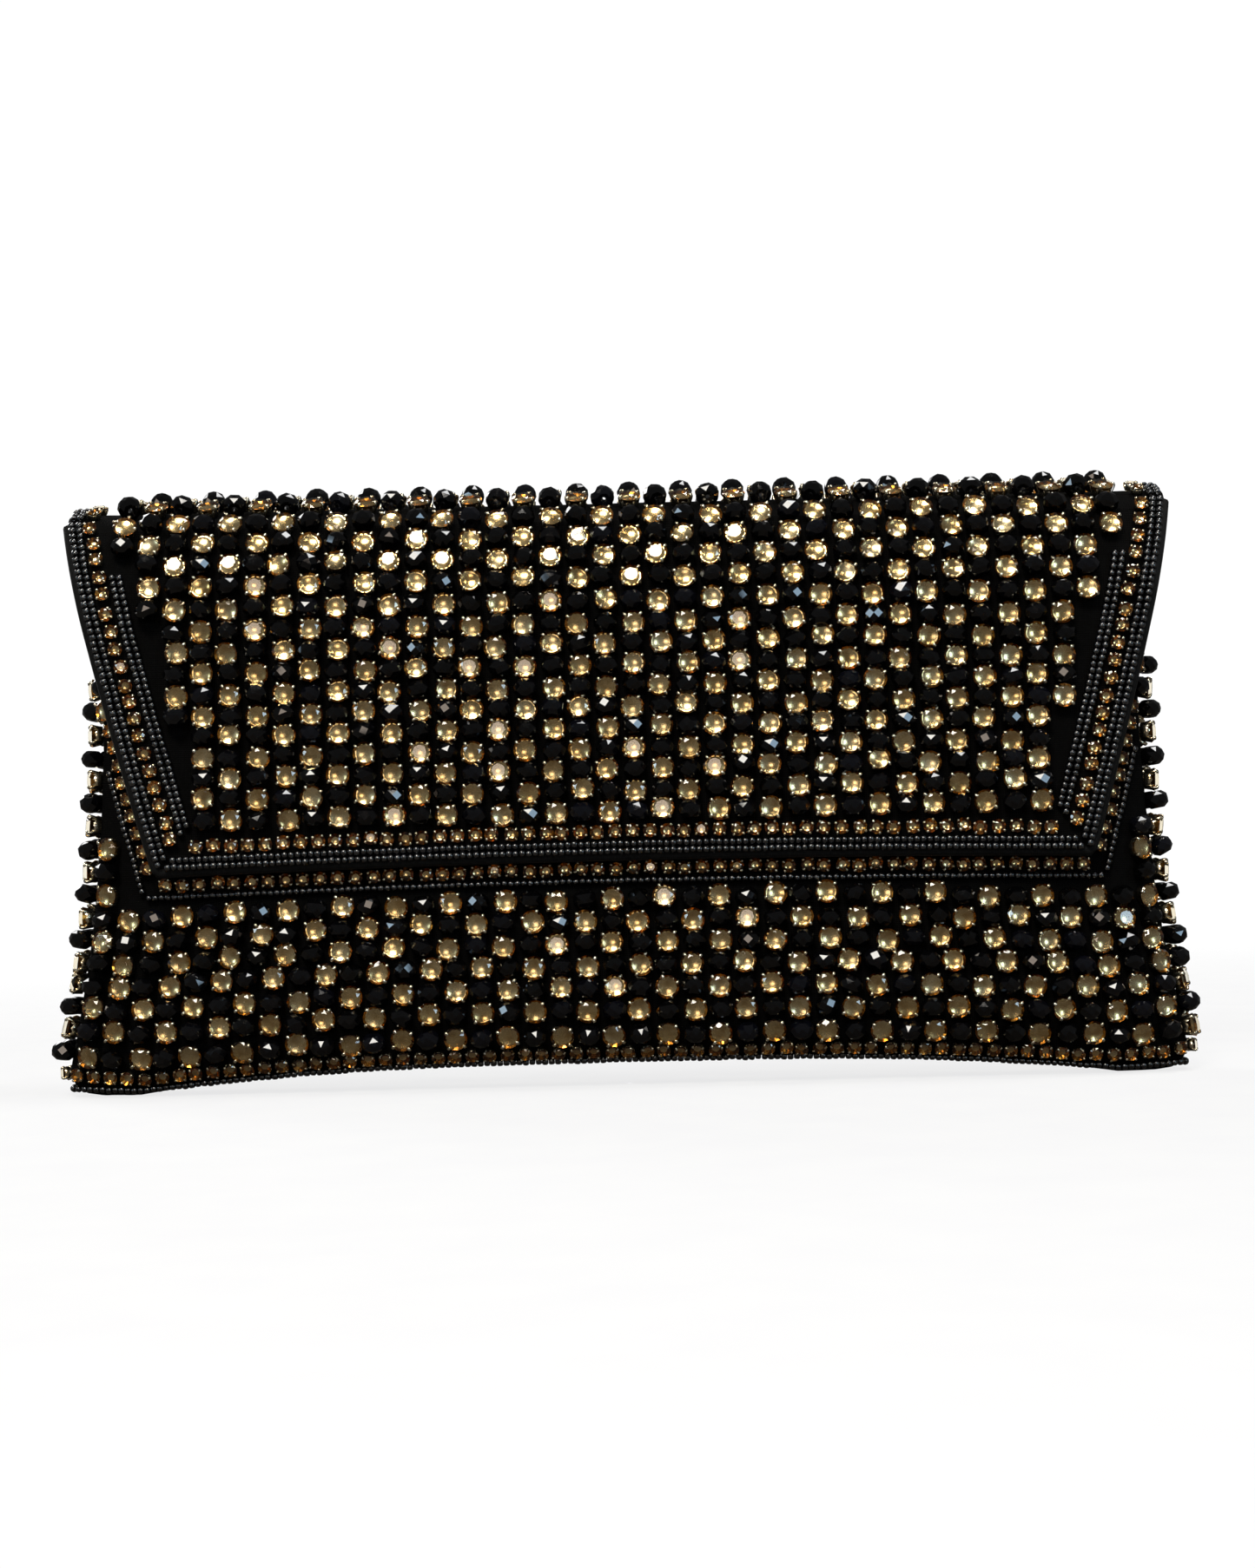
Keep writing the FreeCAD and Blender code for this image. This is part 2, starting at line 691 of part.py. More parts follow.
def border_run(distance, pitch):
    lean = math.hypot(1, flap_slope)
    corner_x = size.flap_half_tip + distance * (lean - flap_slope)
    corner_z = size.flap_tip - distance
    run = []
    for place in spaced(2 * corner_x - 0.6 * pitch, pitch):
        x = place - corner_x + 0.3 * pitch
        here, normal = front_frame(x, edge_z(x) - distance)
        run.append((here, normal, Vector(1, 0, 0)))
    for side in (-1, 1):
        for place in spaced(66, pitch):
            rise = place + 0.6 * pitch
            z = corner_z + rise / lean
            x = side * (flap_edge(z) + distance * lean)
            if abs(x) < half_width(z) - 3:
                here, normal = front_frame(x, z)
                ahead = front_frame(side * (flap_edge(z + 0.1) + distance * lean), z + 0.1)[0]
                run.append((here, normal, (ahead - here).normalize()))
    return run


chain_out = 2.3
strand_out = chain_out + size.chain_cup + size.seed_radius + 0.1
border = []
for point, normal, along in border_run(chain_out, size.chain_pitch):
    add_chain("border_chain_cups", "border_chain_crystals", point, normal)
    border.append((point, size.chain_cup))
for place in border_run(strand_out, size.seed_pitch):
    add_seed("border_seeds", *place)
    border.append((place[0], size.seed_radius))


def in_view(point):
    """Whether the flap and the border leave room for a cell at this place on the front."""
    if beyond_flap(point.x, point.z) < -1.5:
        return False
    return all((point - at).Length > radius + size.stone_girdle + 0.15 for at, radius in border)


# Walls: rows run round to the side seams; on the front only what the flap leaves in view is beaded.
seed_level = 1.15
chain_level = 4.15
first_row = chain_level + size.chain_cup + size.stone_girdle + 0.15
for side, name in ((-1, "front"), (1, "back")):
    levels, length = [], first_row
    while length < 118:
        levels.append(length)
        length += size.row_pitch if len(levels) < 7 else size.wall_pitch
    for row, length in enumerate(levels):
        line = BeadRow(length, side)
        if line.top > size.panel_top - size.stone_girdle - 2 * gap:
            break
        count = 2 * round(line.length / 2 / size.stone_pitch)
        for column in range(count):
            point, normal, along = line.frame((column + 0.5) / count)
            if side > 0 or (in_view(point) and line.top < size.front_rows_top):
                add_cell(name, column - count // 2, row, point, normal)
    line = BeadRow(chain_level, side)
    for place in spaced(line.length, size.chain_pitch):
        point, normal, along = line.frame(place / line.length)
        add_chain("bottom_chain_cups", "bottom_chain_crystals", point, normal)
    line = BeadRow(seed_level, side)
    for place in spaced(line.length, size.seed_pitch):
        add_seed("bottom_seeds", *line.frame(place / line.length))

for node, solids in beads.items():
    feature(node, Part.makeCompound(solids))


# ---------------------------------------------------------------- checks and files

doc.recompute()
for obj in doc.Objects:
    if "Invalid" in obj.State or "Error" in obj.State:
        raise RuntimeError(f"{obj.Label} failed: {obj.State}")
os.makedirs("parts", exist_ok=True)
total = 0
for obj in parts:
    shape = obj.Shape
    if shape.isNull() or not shape.isValid() or not shape.Solids:
        raise RuntimeError(f"{obj.Label} has no valid shape")
    shape.exportStep(f"parts/{obj.Label}.step")
    box = shape.BoundBox
    total += len(shape.Solids)
    print(
        f"{obj.Label:24s} {len(shape.Solids):5d} solids  "
        f"X {box.XMin:8.2f} {box.XMax:8.2f}  Y {box.YMin:7.2f} {box.YMax:7.2f}  "
        f"Z {box.ZMin:7.2f} {box.ZMax:7.2f}"
    )
print(len(parts), "nodes,", total, "solids")
print("hinges", [(round(h.y + size.shift_y, 3), round(h.z, 3)) for h in hinges])
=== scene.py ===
import math

import bpy
import numpy as np
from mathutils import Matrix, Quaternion, Vector


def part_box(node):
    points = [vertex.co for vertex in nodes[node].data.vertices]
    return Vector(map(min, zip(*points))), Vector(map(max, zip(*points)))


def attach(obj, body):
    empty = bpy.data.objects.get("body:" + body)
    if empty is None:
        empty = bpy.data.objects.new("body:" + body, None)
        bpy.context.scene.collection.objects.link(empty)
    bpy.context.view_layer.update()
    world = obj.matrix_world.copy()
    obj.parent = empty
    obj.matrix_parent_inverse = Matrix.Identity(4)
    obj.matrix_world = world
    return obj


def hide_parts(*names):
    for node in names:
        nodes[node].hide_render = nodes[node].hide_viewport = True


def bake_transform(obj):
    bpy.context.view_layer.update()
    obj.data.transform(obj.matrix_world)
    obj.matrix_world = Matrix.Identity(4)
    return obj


# Beaded envelope clutch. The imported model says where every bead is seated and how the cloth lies;
# this script gives the stones their facets and claws, the cloth its weave and the scene its light.

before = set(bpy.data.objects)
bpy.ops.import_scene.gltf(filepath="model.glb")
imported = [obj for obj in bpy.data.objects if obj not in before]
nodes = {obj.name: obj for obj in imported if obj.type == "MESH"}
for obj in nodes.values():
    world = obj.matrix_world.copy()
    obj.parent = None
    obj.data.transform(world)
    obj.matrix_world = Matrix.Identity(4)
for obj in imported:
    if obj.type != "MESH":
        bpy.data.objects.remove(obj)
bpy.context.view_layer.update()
MM = 0.001
GRID = 1e6  # vertices are merged on a grid of this many points to the metre
rng = np.random.default_rng(20)


# ---------------------------------------------------------------- seats of the beads


def seats(node):
    """Foot, outward axis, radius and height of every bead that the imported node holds.

    Each bead is a closed cluster of triangles. Its axis is the odd one of the three main directions
    of its faces, and it points from the wider end to the narrower one.
    """
    mesh = nodes[node].data
    co = np.empty(len(mesh.vertices) * 3)
    mesh.vertices.foreach_get("co", co)
    mesh.calc_loop_triangles()
    tris = np.empty(len(mesh.loop_triangles) * 3, int)
    mesh.loop_triangles.foreach_get("vertices", tris)
    keys = np.round(co.reshape(-1, 3) * GRID).astype(np.int64)
    points, index = np.unique(keys, axis=0, return_inverse=True)
    points, tris = points / GRID, index.reshape(-1)[tris].reshape(-1, 3)
    # each point takes the lowest label it can reach, so that a bead ends with one label
    label = np.arange(len(points))
    while True:
        least = label[tris].min(1)
        new = label.copy()
        for k in range(3):
            np.minimum.at(new, tris[:, k], least)
        new = new[new]
        if (new == label).all():
            break
        label = new
    roots, part = np.unique(label, return_inverse=True)
    part, count = part.reshape(-1), len(roots)
    a, b, c = (points[tris[:, k]] for k in range(3))
    cross = np.cross(b - a, c - a)
    area = np.linalg.norm(cross, axis=1)
    spread = cross[:, :, None] * cross[:, None, :] / np.maximum(area, 1e-18)[:, None, None]
    moment = np.zeros((count, 3, 3))
    np.add.at(moment, part[tris[:, 0]], spread)
    values, vectors = np.linalg.eigh(moment)
    low_odd = values[:, 1] - values[:, 0] > values[:, 2] - values[:, 1]
    axis = np.where(low_odd[:, None], vectors[:, :, 0], vectors[:, :, 2])
    centre = np.zeros((count, 3))
    np.add.at(centre, part, points)
    centre /= np.bincount(part)[:, None]
    along = ((points - centre[part]) * axis[part]).sum(1)
    across = np.linalg.norm(points - centre[part] - along[:, None] * axis[part], axis=1)
    ends = []
    for side in (-1, 1):
        reach = np.full(count, -1.0)
        np.maximum.at(reach, part, side * along)
        near = side * along > reach[part] - 10 / GRID
        wide = np.zeros(count)
        np.maximum.at(wide, part[near], across[near])
        ends.append((reach, wide))
    flip = np.where(ends[1][1] > ends[0][1] + 20 / GRID, -1, 1)
    axis *= flip[:, None]
    radius = np.maximum(ends[0][1], ends[1][1])
    foot = centre - axis * ends[0][0][:, None]
    return foot, axis, radius, ends[0][0] + ends[1][0]


def turned(first, second, angle):
    """Two directions turned in their common plane, the first towards the second."""
    c, s = np.cos(np.radians(angle)), np.sin(np.radians(angle))
    return first * c + second * s, second * c - first * s


def bead_frames(origin, axis, twist, tilt, shift, roll=0.0):
    """Right, up and out directions of beads, with a hand-sewn scatter of the given size in degrees and mm."""
    count = len(origin)
    up = np.cross(axis, [1.0, 0, 0])
    side_on = np.abs(axis[:, 0]) > 0.8
    up[side_on] = [0, 0, 1.0] - axis[side_on] * axis[side_on, 2:3]
    up[(axis[:, 1] > 0.2) & (axis[:, 2] < 0.4)] *= -1
    up[side_on] *= np.sign(up[side_on, 2:3])
    up /= np.linalg.norm(up, axis=1)[:, None]
    right = np.cross(up, axis)
    spin, nod = rng.normal(0, twist, (count, 1)), rng.normal(0, tilt, (count, 1))
    yaw = rng.normal(0, tilt, (count, 1)) + rng.uniform(-roll, roll, (count, 1))
    right, up = turned(right, up, spin)
    up, axis = turned(up, axis, nod)
    axis, right = turned(axis, right, yaw)
    stray = right * rng.normal(0, 1, (count, 1)) + up * rng.normal(0, 1, (count, 1))
    return origin + stray * shift * MM, np.stack([right, up, axis], axis=2)


def new_mesh(name, verts, lengths, loops, smooth=False):
    mesh = bpy.data.meshes.new(name)
    mesh.vertices.add(len(verts))
    mesh.vertices.foreach_set("co", np.asarray(verts, np.float32).reshape(-1))
    mesh.loops.add(len(loops))
    mesh.loops.foreach_set("vertex_index", np.asarray(loops, np.int32))
    mesh.polygons.add(len(lengths))
    mesh.polygons.foreach_set("loop_start", np.concatenate([[0], np.cumsum(lengths)[:-1]]).astype(np.int32))
    mesh.polygons.foreach_set("loop_total", np.asarray(lengths, np.int32))
    mesh.polygons.foreach_set("use_smooth", np.full(len(lengths), smooth))
    mesh.update(calc_edges=True)
    mesh.validate()
    obj = bpy.data.objects.new(name, mesh)
    bpy.context.scene.collection.objects.link(obj)
    return obj


def scatter(name, shape, origin, turn, smooth=False, wobble=0.0):
    """One mesh that repeats a small shape (vertices in mm, faces) at every place.

    Every bead gets a random tone for the materials, and every face a random share of painted light and shade
    for the foil. A shape may add fixed painted light and dark tones of its facets, and groups that share one
    painted shade.
    """
    verts, faces, *painted_facet_shading = shape
    count = len(origin)
    size = (1 + rng.normal(0, wobble, (count, 1, 1))) * MM
    world = origin[:, None, :] + np.einsum("nij,mj->nmi", turn, np.array(verts, float)) * size
    lengths = [len(f) for f in faces]
    loops = np.concatenate([np.array(f) for f in faces])
    offsets = np.arange(count)[:, None] * len(verts)
    loops = (loops[None] + offsets).reshape(-1)
    obj = new_mesh(name, world.reshape(-1, 3), np.tile(lengths, count), loops, smooth)
    # per face: a random tone that the foil shows as painted light and shade
    tones = {"bead": np.repeat(rng.random(count), len(faces)), "facet_painted_light": rng.random(count * len(faces))}
    if painted_facet_shading:
        painted_spokes, shade_sectors = painted_facet_shading
        painted_sector_shade = rng.random((count, max(shade_sectors) + 1))[:, shade_sectors].reshape(-1)
        # painted light and shade of the facets: part random per face, part per group, part fixed
        tones["facet_painted_light"] = tones["facet_painted_light"] * 0.3 + painted_sector_shade * 0.45 + np.tile(painted_spokes, count) * 0.25
    for label, values in tones.items():
        layer = obj.data.attributes.new(label, "FLOAT", "FACE")
        layer.data.foreach_set("value", values.astype(np.float32))
    return obj


# ---------------------------------------------------------------- shapes of the beads, in mm


def ring(radius, z, count, turn=0.0):
    """Points of a level circle; turn is counted in steps."""
    angles = [2 * math.pi * (i + turn) / count for i in range(count)]
    return [(radius * math.cos(a), radius * math.sin(a), z) for a in angles]


def lathe(profile, count, capped=False):
    verts, faces = [], []
    for radius, z in profile:
        verts += ring(radius, z, count)
    for level in range(len(profile) - 1):
        for i in range(count):
            j = (i + 1) % count
            base, top = level * count, (level + 1) * count
            faces.append((base + i, base + j, top + j, top + i))
    if capped:
        faces.append(tuple(reversed(range(count))))
        faces.append(tuple(range((len(profile) - 1) * count, len(profile) * count)))
    return verts, faces


def foil_shape(radius, top, deep):
    """The backed pavilion that shows through the crown: halves at the girdle, mains and culet facets."""
    verts = ring(radius, top, 16) + ring(radius * 0.74, top - deep * 0.36, 16, 0.5)
    verts += ring(radius * 0.40, top - deep * 0.80, 8, 0.25) + [(0.02, -0.03, top - deep)]
    faces = []
    for i in range(16):
        j = (i + 1) % 16
        faces += [(i, j, 16 + i), (j, 16 + j, 16 + i)]
    for i in range(8):
        a, b, c = 16 + 2 * i, 16 + (2 * i + 1) % 16, 16 + (2 * i + 2) % 16
        m, n = 32 + i, 32 + (i + 1) % 8
        faces += [(a, b, m), (b, c, n), (b, n, m), (m, n, 40)]
    under = len(verts)
    verts += ring(radius * 0.8, top - deep - 0.1, 16)
    faces += [(i, under + i, under + (i + 1) % 16, (i + 1) % 16) for i in range(16)]
    faces.append(tuple(under + i for i in range(16)))
    # Painted light and shade, not the foil's own colour: fixed light and dark tones of the faces stand for
    # the sparkle of the pavilion, and each run of four faces shares one random painted shade.
    painted_spokes = [0.95, 0.15, 0.35, 0.75] * 8 + [0.9, 0.25, 0.6, 0.1] * 8 + [0.0] * 17
    shade_sectors = [i // 4 for i in range(32)] + [i // 4 for i in range(32)] + [8] * 17
    return verts, faces, painted_spokes, shade_sectors


def crown_shape(radius, low, high):
    """Table, stars, kites and girdle halves of a brilliant's crown, closed below."""
    rise = high - low
    verts = ring(radius, low, 16) + ring(radius * 0.82, low + rise * 0.60, 8, 0.5)
    verts += ring(radius * 0.58, high, 8)
    faces = []
    for i in range(8):
        g0, g1, g2 = 2 * i, 2 * i + 1, (2 * i + 2) % 16
        m, n = 16 + i, 16 + (i - 1) % 8
        t, s = 24 + i, 24 + (i + 1) % 8
        faces += [(g0, g1, m), (g1, g2, m), (g0, m, t), (g0, t, n), (t, m, s)]
    faces.append(tuple(range(24, 32)))
    faces.append(tuple(reversed(range(16))))
    return verts, faces


def claw_shape(radius, seat, tip, width, thick, foot):
    """Open cup under the stone with four claws that bend over its girdle on the diagonals."""
    cup = [(radius * 0.55, foot), (radius * 0.82, foot + 0.12), (radius * 0.94, seat - 0.35)]
    cup += [(radius * 0.9, seat - 0.28), (radius * 0.7, seat - 0.6)]
    verts, faces = lathe(cup, 12, capped=True)
    path = [
        (radius * 0.84, foot + 0.3, 1.0, 1.0),
        (radius + thick * 0.5, seat - 0.35, 1.0, 1.0),
        (radius + thick * 0.85, seat + 0.2, 1.05, 1.15),
        (radius + thick * 0.1, tip - 0.1, 1.0, 1.15),
        (radius - thick * 1.5, tip, 0.85, 0.9),
        (radius - thick * 2.6, tip - 0.12, 0.4, 0.4),
    ]
    section = [(-0.5, -0.35), (-0.36, 0.34), (0.0, 0.58), (0.36, 0.34), (0.5, -0.35)]
    for k in range(4):
        turn = math.pi / 4 + k * math.pi / 2
        out, across = (math.cos(turn), math.sin(turn)), (-math.sin(turn), math.cos(turn))
        start = len(verts)
        for i, (r, z, wide, deep) in enumerate(path):
            (r0, z0), (r1, z1) = path[max(i - 1, 0)][:2], path[min(i + 1, 5)][:2]
            run = math.hypot(r1 - r0, z1 - z0)
            for sx, sy in section:
                reach = r + (z1 - z0) / run * sy * thick * deep
                side = sx * width * wide
                lift = z - (r1 - r0) / run * sy * thick * deep
                verts.append((out[0] * reach + across[0] * side, out[1] * reach + across[1] * side, lift))
        for i in range(5):
            for j in range(5):
                a, b = start + i * 5 + j, start + i * 5 + (j + 1) % 5
                faces.append((b, a, a + 5, b + 5))
        faces += [tuple(start + j for j in range(5)), tuple(start + 29 - j for j in range(5))]
    return verts, faces


def rondelle_shape(radius, half, sides=8):
    """Rondelle with its hole upright: lozenges round the equator, then two rows of triangles each way."""
    mid = radius * math.cos(math.pi / sides)
    levels = [(mid, half * 0.54, 0.0), (radius * 0.56, half, 0.5), (radius * 0.2, half * 0.93, 0.5)]
    verts = ring(radius, 0, sides, 0.5)
    for sign in (1, -1):
        for r, z, turn in levels:
            verts += ring(r, sign * z, sides, turn)
    faces = []
    up, down = sides, 4 * sides
    for i in range(sides):
        j = (i + 1) % sides
        h = (i - 1) % sides
        faces.append((h, down + i, i, up + i))
        for base, flip in ((up, False), (down, True)):
            a, b, c, d = base + i, base + j, base + sides + i, base + sides + h
            made = [(i, b, a), (a, b, c), (a, c, d)]
            made.append((d, c, base + 2 * sides + i, base + 2 * sides + h))
            faces += [tuple(reversed(f)) for f in made] if flip else made
        faces.append((up + 2 * sides + i, down + 2 * sides + i, down + 2 * sides + j, up + 2 * sides + j))
    return [(x, z, -y) for x, y, z in verts], faces


def seed_shape(radius, half, hole, sides=9):
    """Short pierced bead, turned about its hole."""
    profile = [(hole, -half * 0.75), (radius * 0.66, -half), (radius * 0.95, -half * 0.58), (radius, 0)]
    profile += [(r, -z) for r, z in reversed(profile[:3])] + profile[:1]
    return lathe(profile, sides)


# ---------------------------------------------------------------- materials


def material(name):
    made = bpy.data.materials.new(name)
    made.use_nodes = True
    made.node_tree.nodes.clear()
    return made, made.node_tree


def node(tree, kind, inputs=None, **settings):
    made = tree.nodes.new(kind)
    for key, value in settings.items():
        setattr(made, key, value)
    for key, value in (inputs or {}).items():
        if isinstance(value, bpy.types.NodeSocket):
            tree.links.new(value, made.inputs[key])
        else:
            made.inputs[key].default_value = value
    return made


def surface(tree, shader):
    tree.links.new(shader, node(tree, "ShaderNodeOutputMaterial").inputs["Surface"])


def ramp(tree, value, stops):
    made = node(tree, "ShaderNodeValToRGB", {"Fac": value})
    elements = made.color_ramp.elements
    while len(elements) < len(stops):
        elements.new(0.5)
    for element, (place, colour) in zip(elements, stops):
        element.position = place
        element.color = (*colour, 1)
    return made.outputs["Color"]


def tone(tree, name):
    return node(tree, "ShaderNodeAttribute", attribute_name=name).outputs["Fac"]


def maths(tree, operation, *values):
    return node(tree, "ShaderNodeMath", dict(enumerate(values)), operation=operation).outputs[0]


def noise(tree, scale, detail=3.0, where=None):
    where = where or node(tree, "ShaderNodeTexCoord").outputs["Object"]
    inputs = {"Vector": where, "Scale": scale, "Detail": detail}
    return node(tree, "ShaderNodeTexNoise", inputs).outputs["Fac"]


def bump(tree, height, depth, strength=0.8):
    made = node(tree, "ShaderNodeBump", {"Height": height, "Distance": depth * MM, "Strength": strength})
    return made.outputs["Normal"]


def woven(name, dark, light, pitch, depth, rough, sheen, gloss):
    """Plain weave that follows the cloth's own length and width, uneven in tone and in height.

    pitch and depth are in mm; a wave texture of scale 314 has one thread per mm.
    """
    made, tree = material(name)
    lay = node(tree, "ShaderNodeAttribute", attribute_name="lay").outputs["Vector"]
    wave = {"Vector": lay, "Scale": 314.0 / pitch, "Distortion": 1.0, "Detail": 1.0, "Detail Scale": 0.5}
    ways = [node(tree, "ShaderNodeTexWave", wave, bands_direction=way) for way in ("X", "Y")]
    threads = [way.outputs["Fac"] for way in ways]
    slub = noise(tree, 900.0, where=lay)
    weave = maths(tree, "MULTIPLY", *threads)
    shade = maths(tree, "MULTIPLY_ADD", slub, 0.6, maths(tree, "MULTIPLY", weave, 0.4))
    shader = node(
        tree,
        "ShaderNodeBsdfPrincipled",
        {
            "Base Color": ramp(tree, shade, [(0.15, dark), (0.8, light)]),
            "Roughness": maths(tree, "MULTIPLY_ADD", slub, 0.15, rough - 0.07),
            "Normal": bump(tree, maths(tree, "MULTIPLY_ADD", slub, 0.35, weave), depth),
            "Sheen Weight": sheen,
            "Sheen Roughness": 0.4,
            "Specular IOR Level": gloss,
        },
    )
    surface(tree, shader.outputs[0])
    return made


def foil_material():
    """Foiled back of a champagne stone: warm metal whose stones differ in tone at random, and whose facets
    carry painted light and shade, from near black to near white, for their sparkle.
    """
    made, tree = material("champagne_foil")
    ambers = [(0.0, (0.84, 0.42, 0.09)), (0.35, (0.98, 0.58, 0.17))]
    ambers += [(0.7, (0.76, 0.34, 0.06)), (1.0, (0.94, 0.60, 0.24))]
    # painted light and shade per facet, from near black up to a near-white painted highlight
    painted_facet_light_stops = [(0.2, (0.035, 0.025, 0.015)), (0.45, (0.17, 0.13, 0.08))]
    painted_facet_light_stops += [(0.65, (0.52, 0.43, 0.31)), (0.82, (1.0, 0.94, 0.82))]
    stone = ramp(tree, tone(tree, "bead"), ambers)
    facet_painted_light = ramp(tree, tone(tree, "facet_painted_light"), painted_facet_light_stops)
    colour = node(tree, "ShaderNodeMix", data_type="RGBA", blend_type="MULTIPLY")
    colour.inputs[0].default_value = 1.0
    tree.links.new(stone, colour.inputs[6])
    tree.links.new(facet_painted_light, colour.inputs[7])
    roughness = maths(tree, "MULTIPLY_ADD", noise(tree, 1500.0, 2.0), 0.10, 0.12)
    shader = node(
        tree,
        "ShaderNodeBsdfPrincipled",
        {
            "Base Color": colour.outputs[2],
            "Metallic": 0.85,
            "Roughness": roughness,
            "Specular IOR Level": 0.0,
        },
    )
    surface(tree, shader.outputs[0])
    return made


def crown_material():
    """Clear, lightly tinted crown: it lets the foil show and mirrors the room by its angle."""
    made, tree = material("champagne_crown")
    stops = [(0.0, (0.975, 0.935, 0.84)), (0.5, (0.965, 0.915, 0.80)), (1.0, (0.985, 0.96, 0.89))]
    clear = node(tree, "ShaderNodeBsdfTransparent", {"Color": ramp(tree, tone(tree, "bead"), stops)})
    roughness = maths(tree, "MULTIPLY", noise(tree, 700.0, 2.0), 0.05)
    gloss = node(tree, "ShaderNodeBsdfGlossy", {"Color": (1.0, 0.97, 0.93, 1), "Roughness": roughness})
    fresnel = node(tree, "ShaderNodeFresnel", {"IOR": 1.6}).outputs[0]
    under = node(tree, "ShaderNodeNewGeometry").outputs["Backfacing"]
    mirror = maths(tree, "MULTIPLY", fresnel, maths(tree, "SUBTRACT", 1.0, under))
    mixed = node(tree, "ShaderNodeMixShader", {0: mirror, 1: clear.outputs[0], 2: gloss.outputs[0]})
    surface(tree, mixed.outputs[0])
    return made


def metal_material(name, stops, rough, scale, depth):
    """Plated metal with darker, duller patches where the plating is worn."""
    made, tree = material(name)
    wear = noise(tree, scale, 4.0)
    shader = node(
        tree,
        "ShaderNodeBsdfPrincipled",
        {
            "Base Color": ramp(tree, wear, stops),
            "Metallic": 1.0,
            "Roughness": maths(tree, "MULTIPLY_ADD", wear, 0.25, rough),
            "Normal": bump(tree, wear, depth, 0.5),
        },
    )
    surface(tree, shader.outputs[0])
    return made


def jet_material(name, light, rough, coat, ior):
    """Black glass: nearly all of what shows is the shine of its facets."""
    made, tree = material(name)
    bright = tuple(c * k for c, k in zip(light, (1.6, 1.8, 2.4)))
    stops = [(0.0, (0.001, 0.001, 0.001)), (0.8, light), (1.0, bright)]
    shader = node(
        tree,
        "ShaderNodeBsdfPrincipled",
        {
            "Base Color": ramp(tree, tone(tree, "bead"), stops),
            "Roughness": maths(tree, "MULTIPLY_ADD", noise(tree, 800.0), 0.08, rough),
            "IOR": ior,
            "Coat Weight": coat,
            "Coat Roughness": 0.03,
        },
    )
    surface(tree, shader.outputs[0])
    return made


def board_material():
    """Grey board with a fibrous face."""
    made, tree = material("grey_board")
    fibre = noise(tree, 350.0, 6.0)
    shader = node(
        tree,
        "ShaderNodeBsdfPrincipled",
        {
            "Base Color": ramp(tree, fibre, [(0.3, (0.20, 0.17, 0.13)), (0.7, (0.42, 0.37, 0.30))]),
            "Roughness": maths(tree, "MULTIPLY_ADD", fibre, 0.1, 0.85),
            "Normal": bump(tree, fibre, 0.08),
        },
    )
    surface(tree, shader.outputs[0])
    return made


cloth_black = woven(
    "black_cloth", (0.0015, 0.0015, 0.0015), (0.005, 0.0048, 0.0046),
    pitch=0.45, depth=0.09, rough=0.9, sheen=0.0, gloss=0.06,
)
satin_black = woven(
    "black_satin", (0.006, 0.005, 0.006), (0.02, 0.018, 0.02),
    pitch=0.25, depth=0.03, rough=0.42, sheen=0.15, gloss=0.3,
)
ribbon_grey = woven(
    "charcoal_ribbon", (0.003, 0.003, 0.003), (0.013, 0.013, 0.0125),
    pitch=0.32, depth=0.08, rough=0.6, sheen=0.03, gloss=0.15,
)
foil = foil_material()
crown = crown_material()
PALE_GOLD = [(0.3, (0.66, 0.52, 0.30)), (0.55, (0.90, 0.82, 0.62)), (0.8, (0.97, 0.93, 0.82))]
STEEL = [(0.25, (0.42, 0.40, 0.36)), (0.7, (0.78, 0.76, 0.70))]
JET = (0.002, 0.002, 0.0025)
claws = metal_material("pale_gold_claws", PALE_GOLD, rough=0.10, scale=420.0, depth=0.03)
steel = metal_material("snap_metal", STEEL, rough=0.15, scale=260.0, depth=0.02)
jet = jet_material("jet_rondelle", JET, rough=0.0, coat=0.1, ior=1.45)
seed_jet = jet_material("jet_seed", JET, rough=0.14, coat=1.0, ior=1.8)
board = board_material()


def piece(obj, look, slot, body, *replaced):
    """Gives a piece its material and the body it rides on, and hides the nodes it stands for. The slot is not
    used.
    """
    obj.data.materials.clear()
    obj.data.materials.append(look)
    if isinstance(body, str):
        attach(obj, body)
    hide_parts(*replaced)
    return obj


# ---------------------------------------------------------------- beads on every body

# foil, crown and claws of a large stone and of a chain stone, over the cloth at height 0
FIELD = (
    foil_shape(radius=2.54, top=2.42, deep=1.6),
    crown_shape(radius=2.60, low=2.46, high=3.3),
    claw_shape(radius=2.56, seat=2.42, tip=3.14, width=0.82, thick=0.27, foot=0.16),
)
CHAIN = (
    foil_shape(radius=1.52, top=1.72, deep=0.95),
    crown_shape(radius=1.55, low=1.76, high=2.25),
    claw_shape(radius=1.55, seat=1.72, tip=2.18, width=0.55, thick=0.17, foot=0.16),
)
FIELD_CUP, CHAIN_CUP = 1.75, 1.25  # from the cloth to the foot of a packed stone
CHAIN_LIMIT = 2.0  # stones of a smaller radius are chain stones
RONDELLE_MIDDLE = 2.2
RONDELLE = rondelle_shape(2.65, 1.85)
SEED = seed_shape(0.78, 0.66, 0.28)


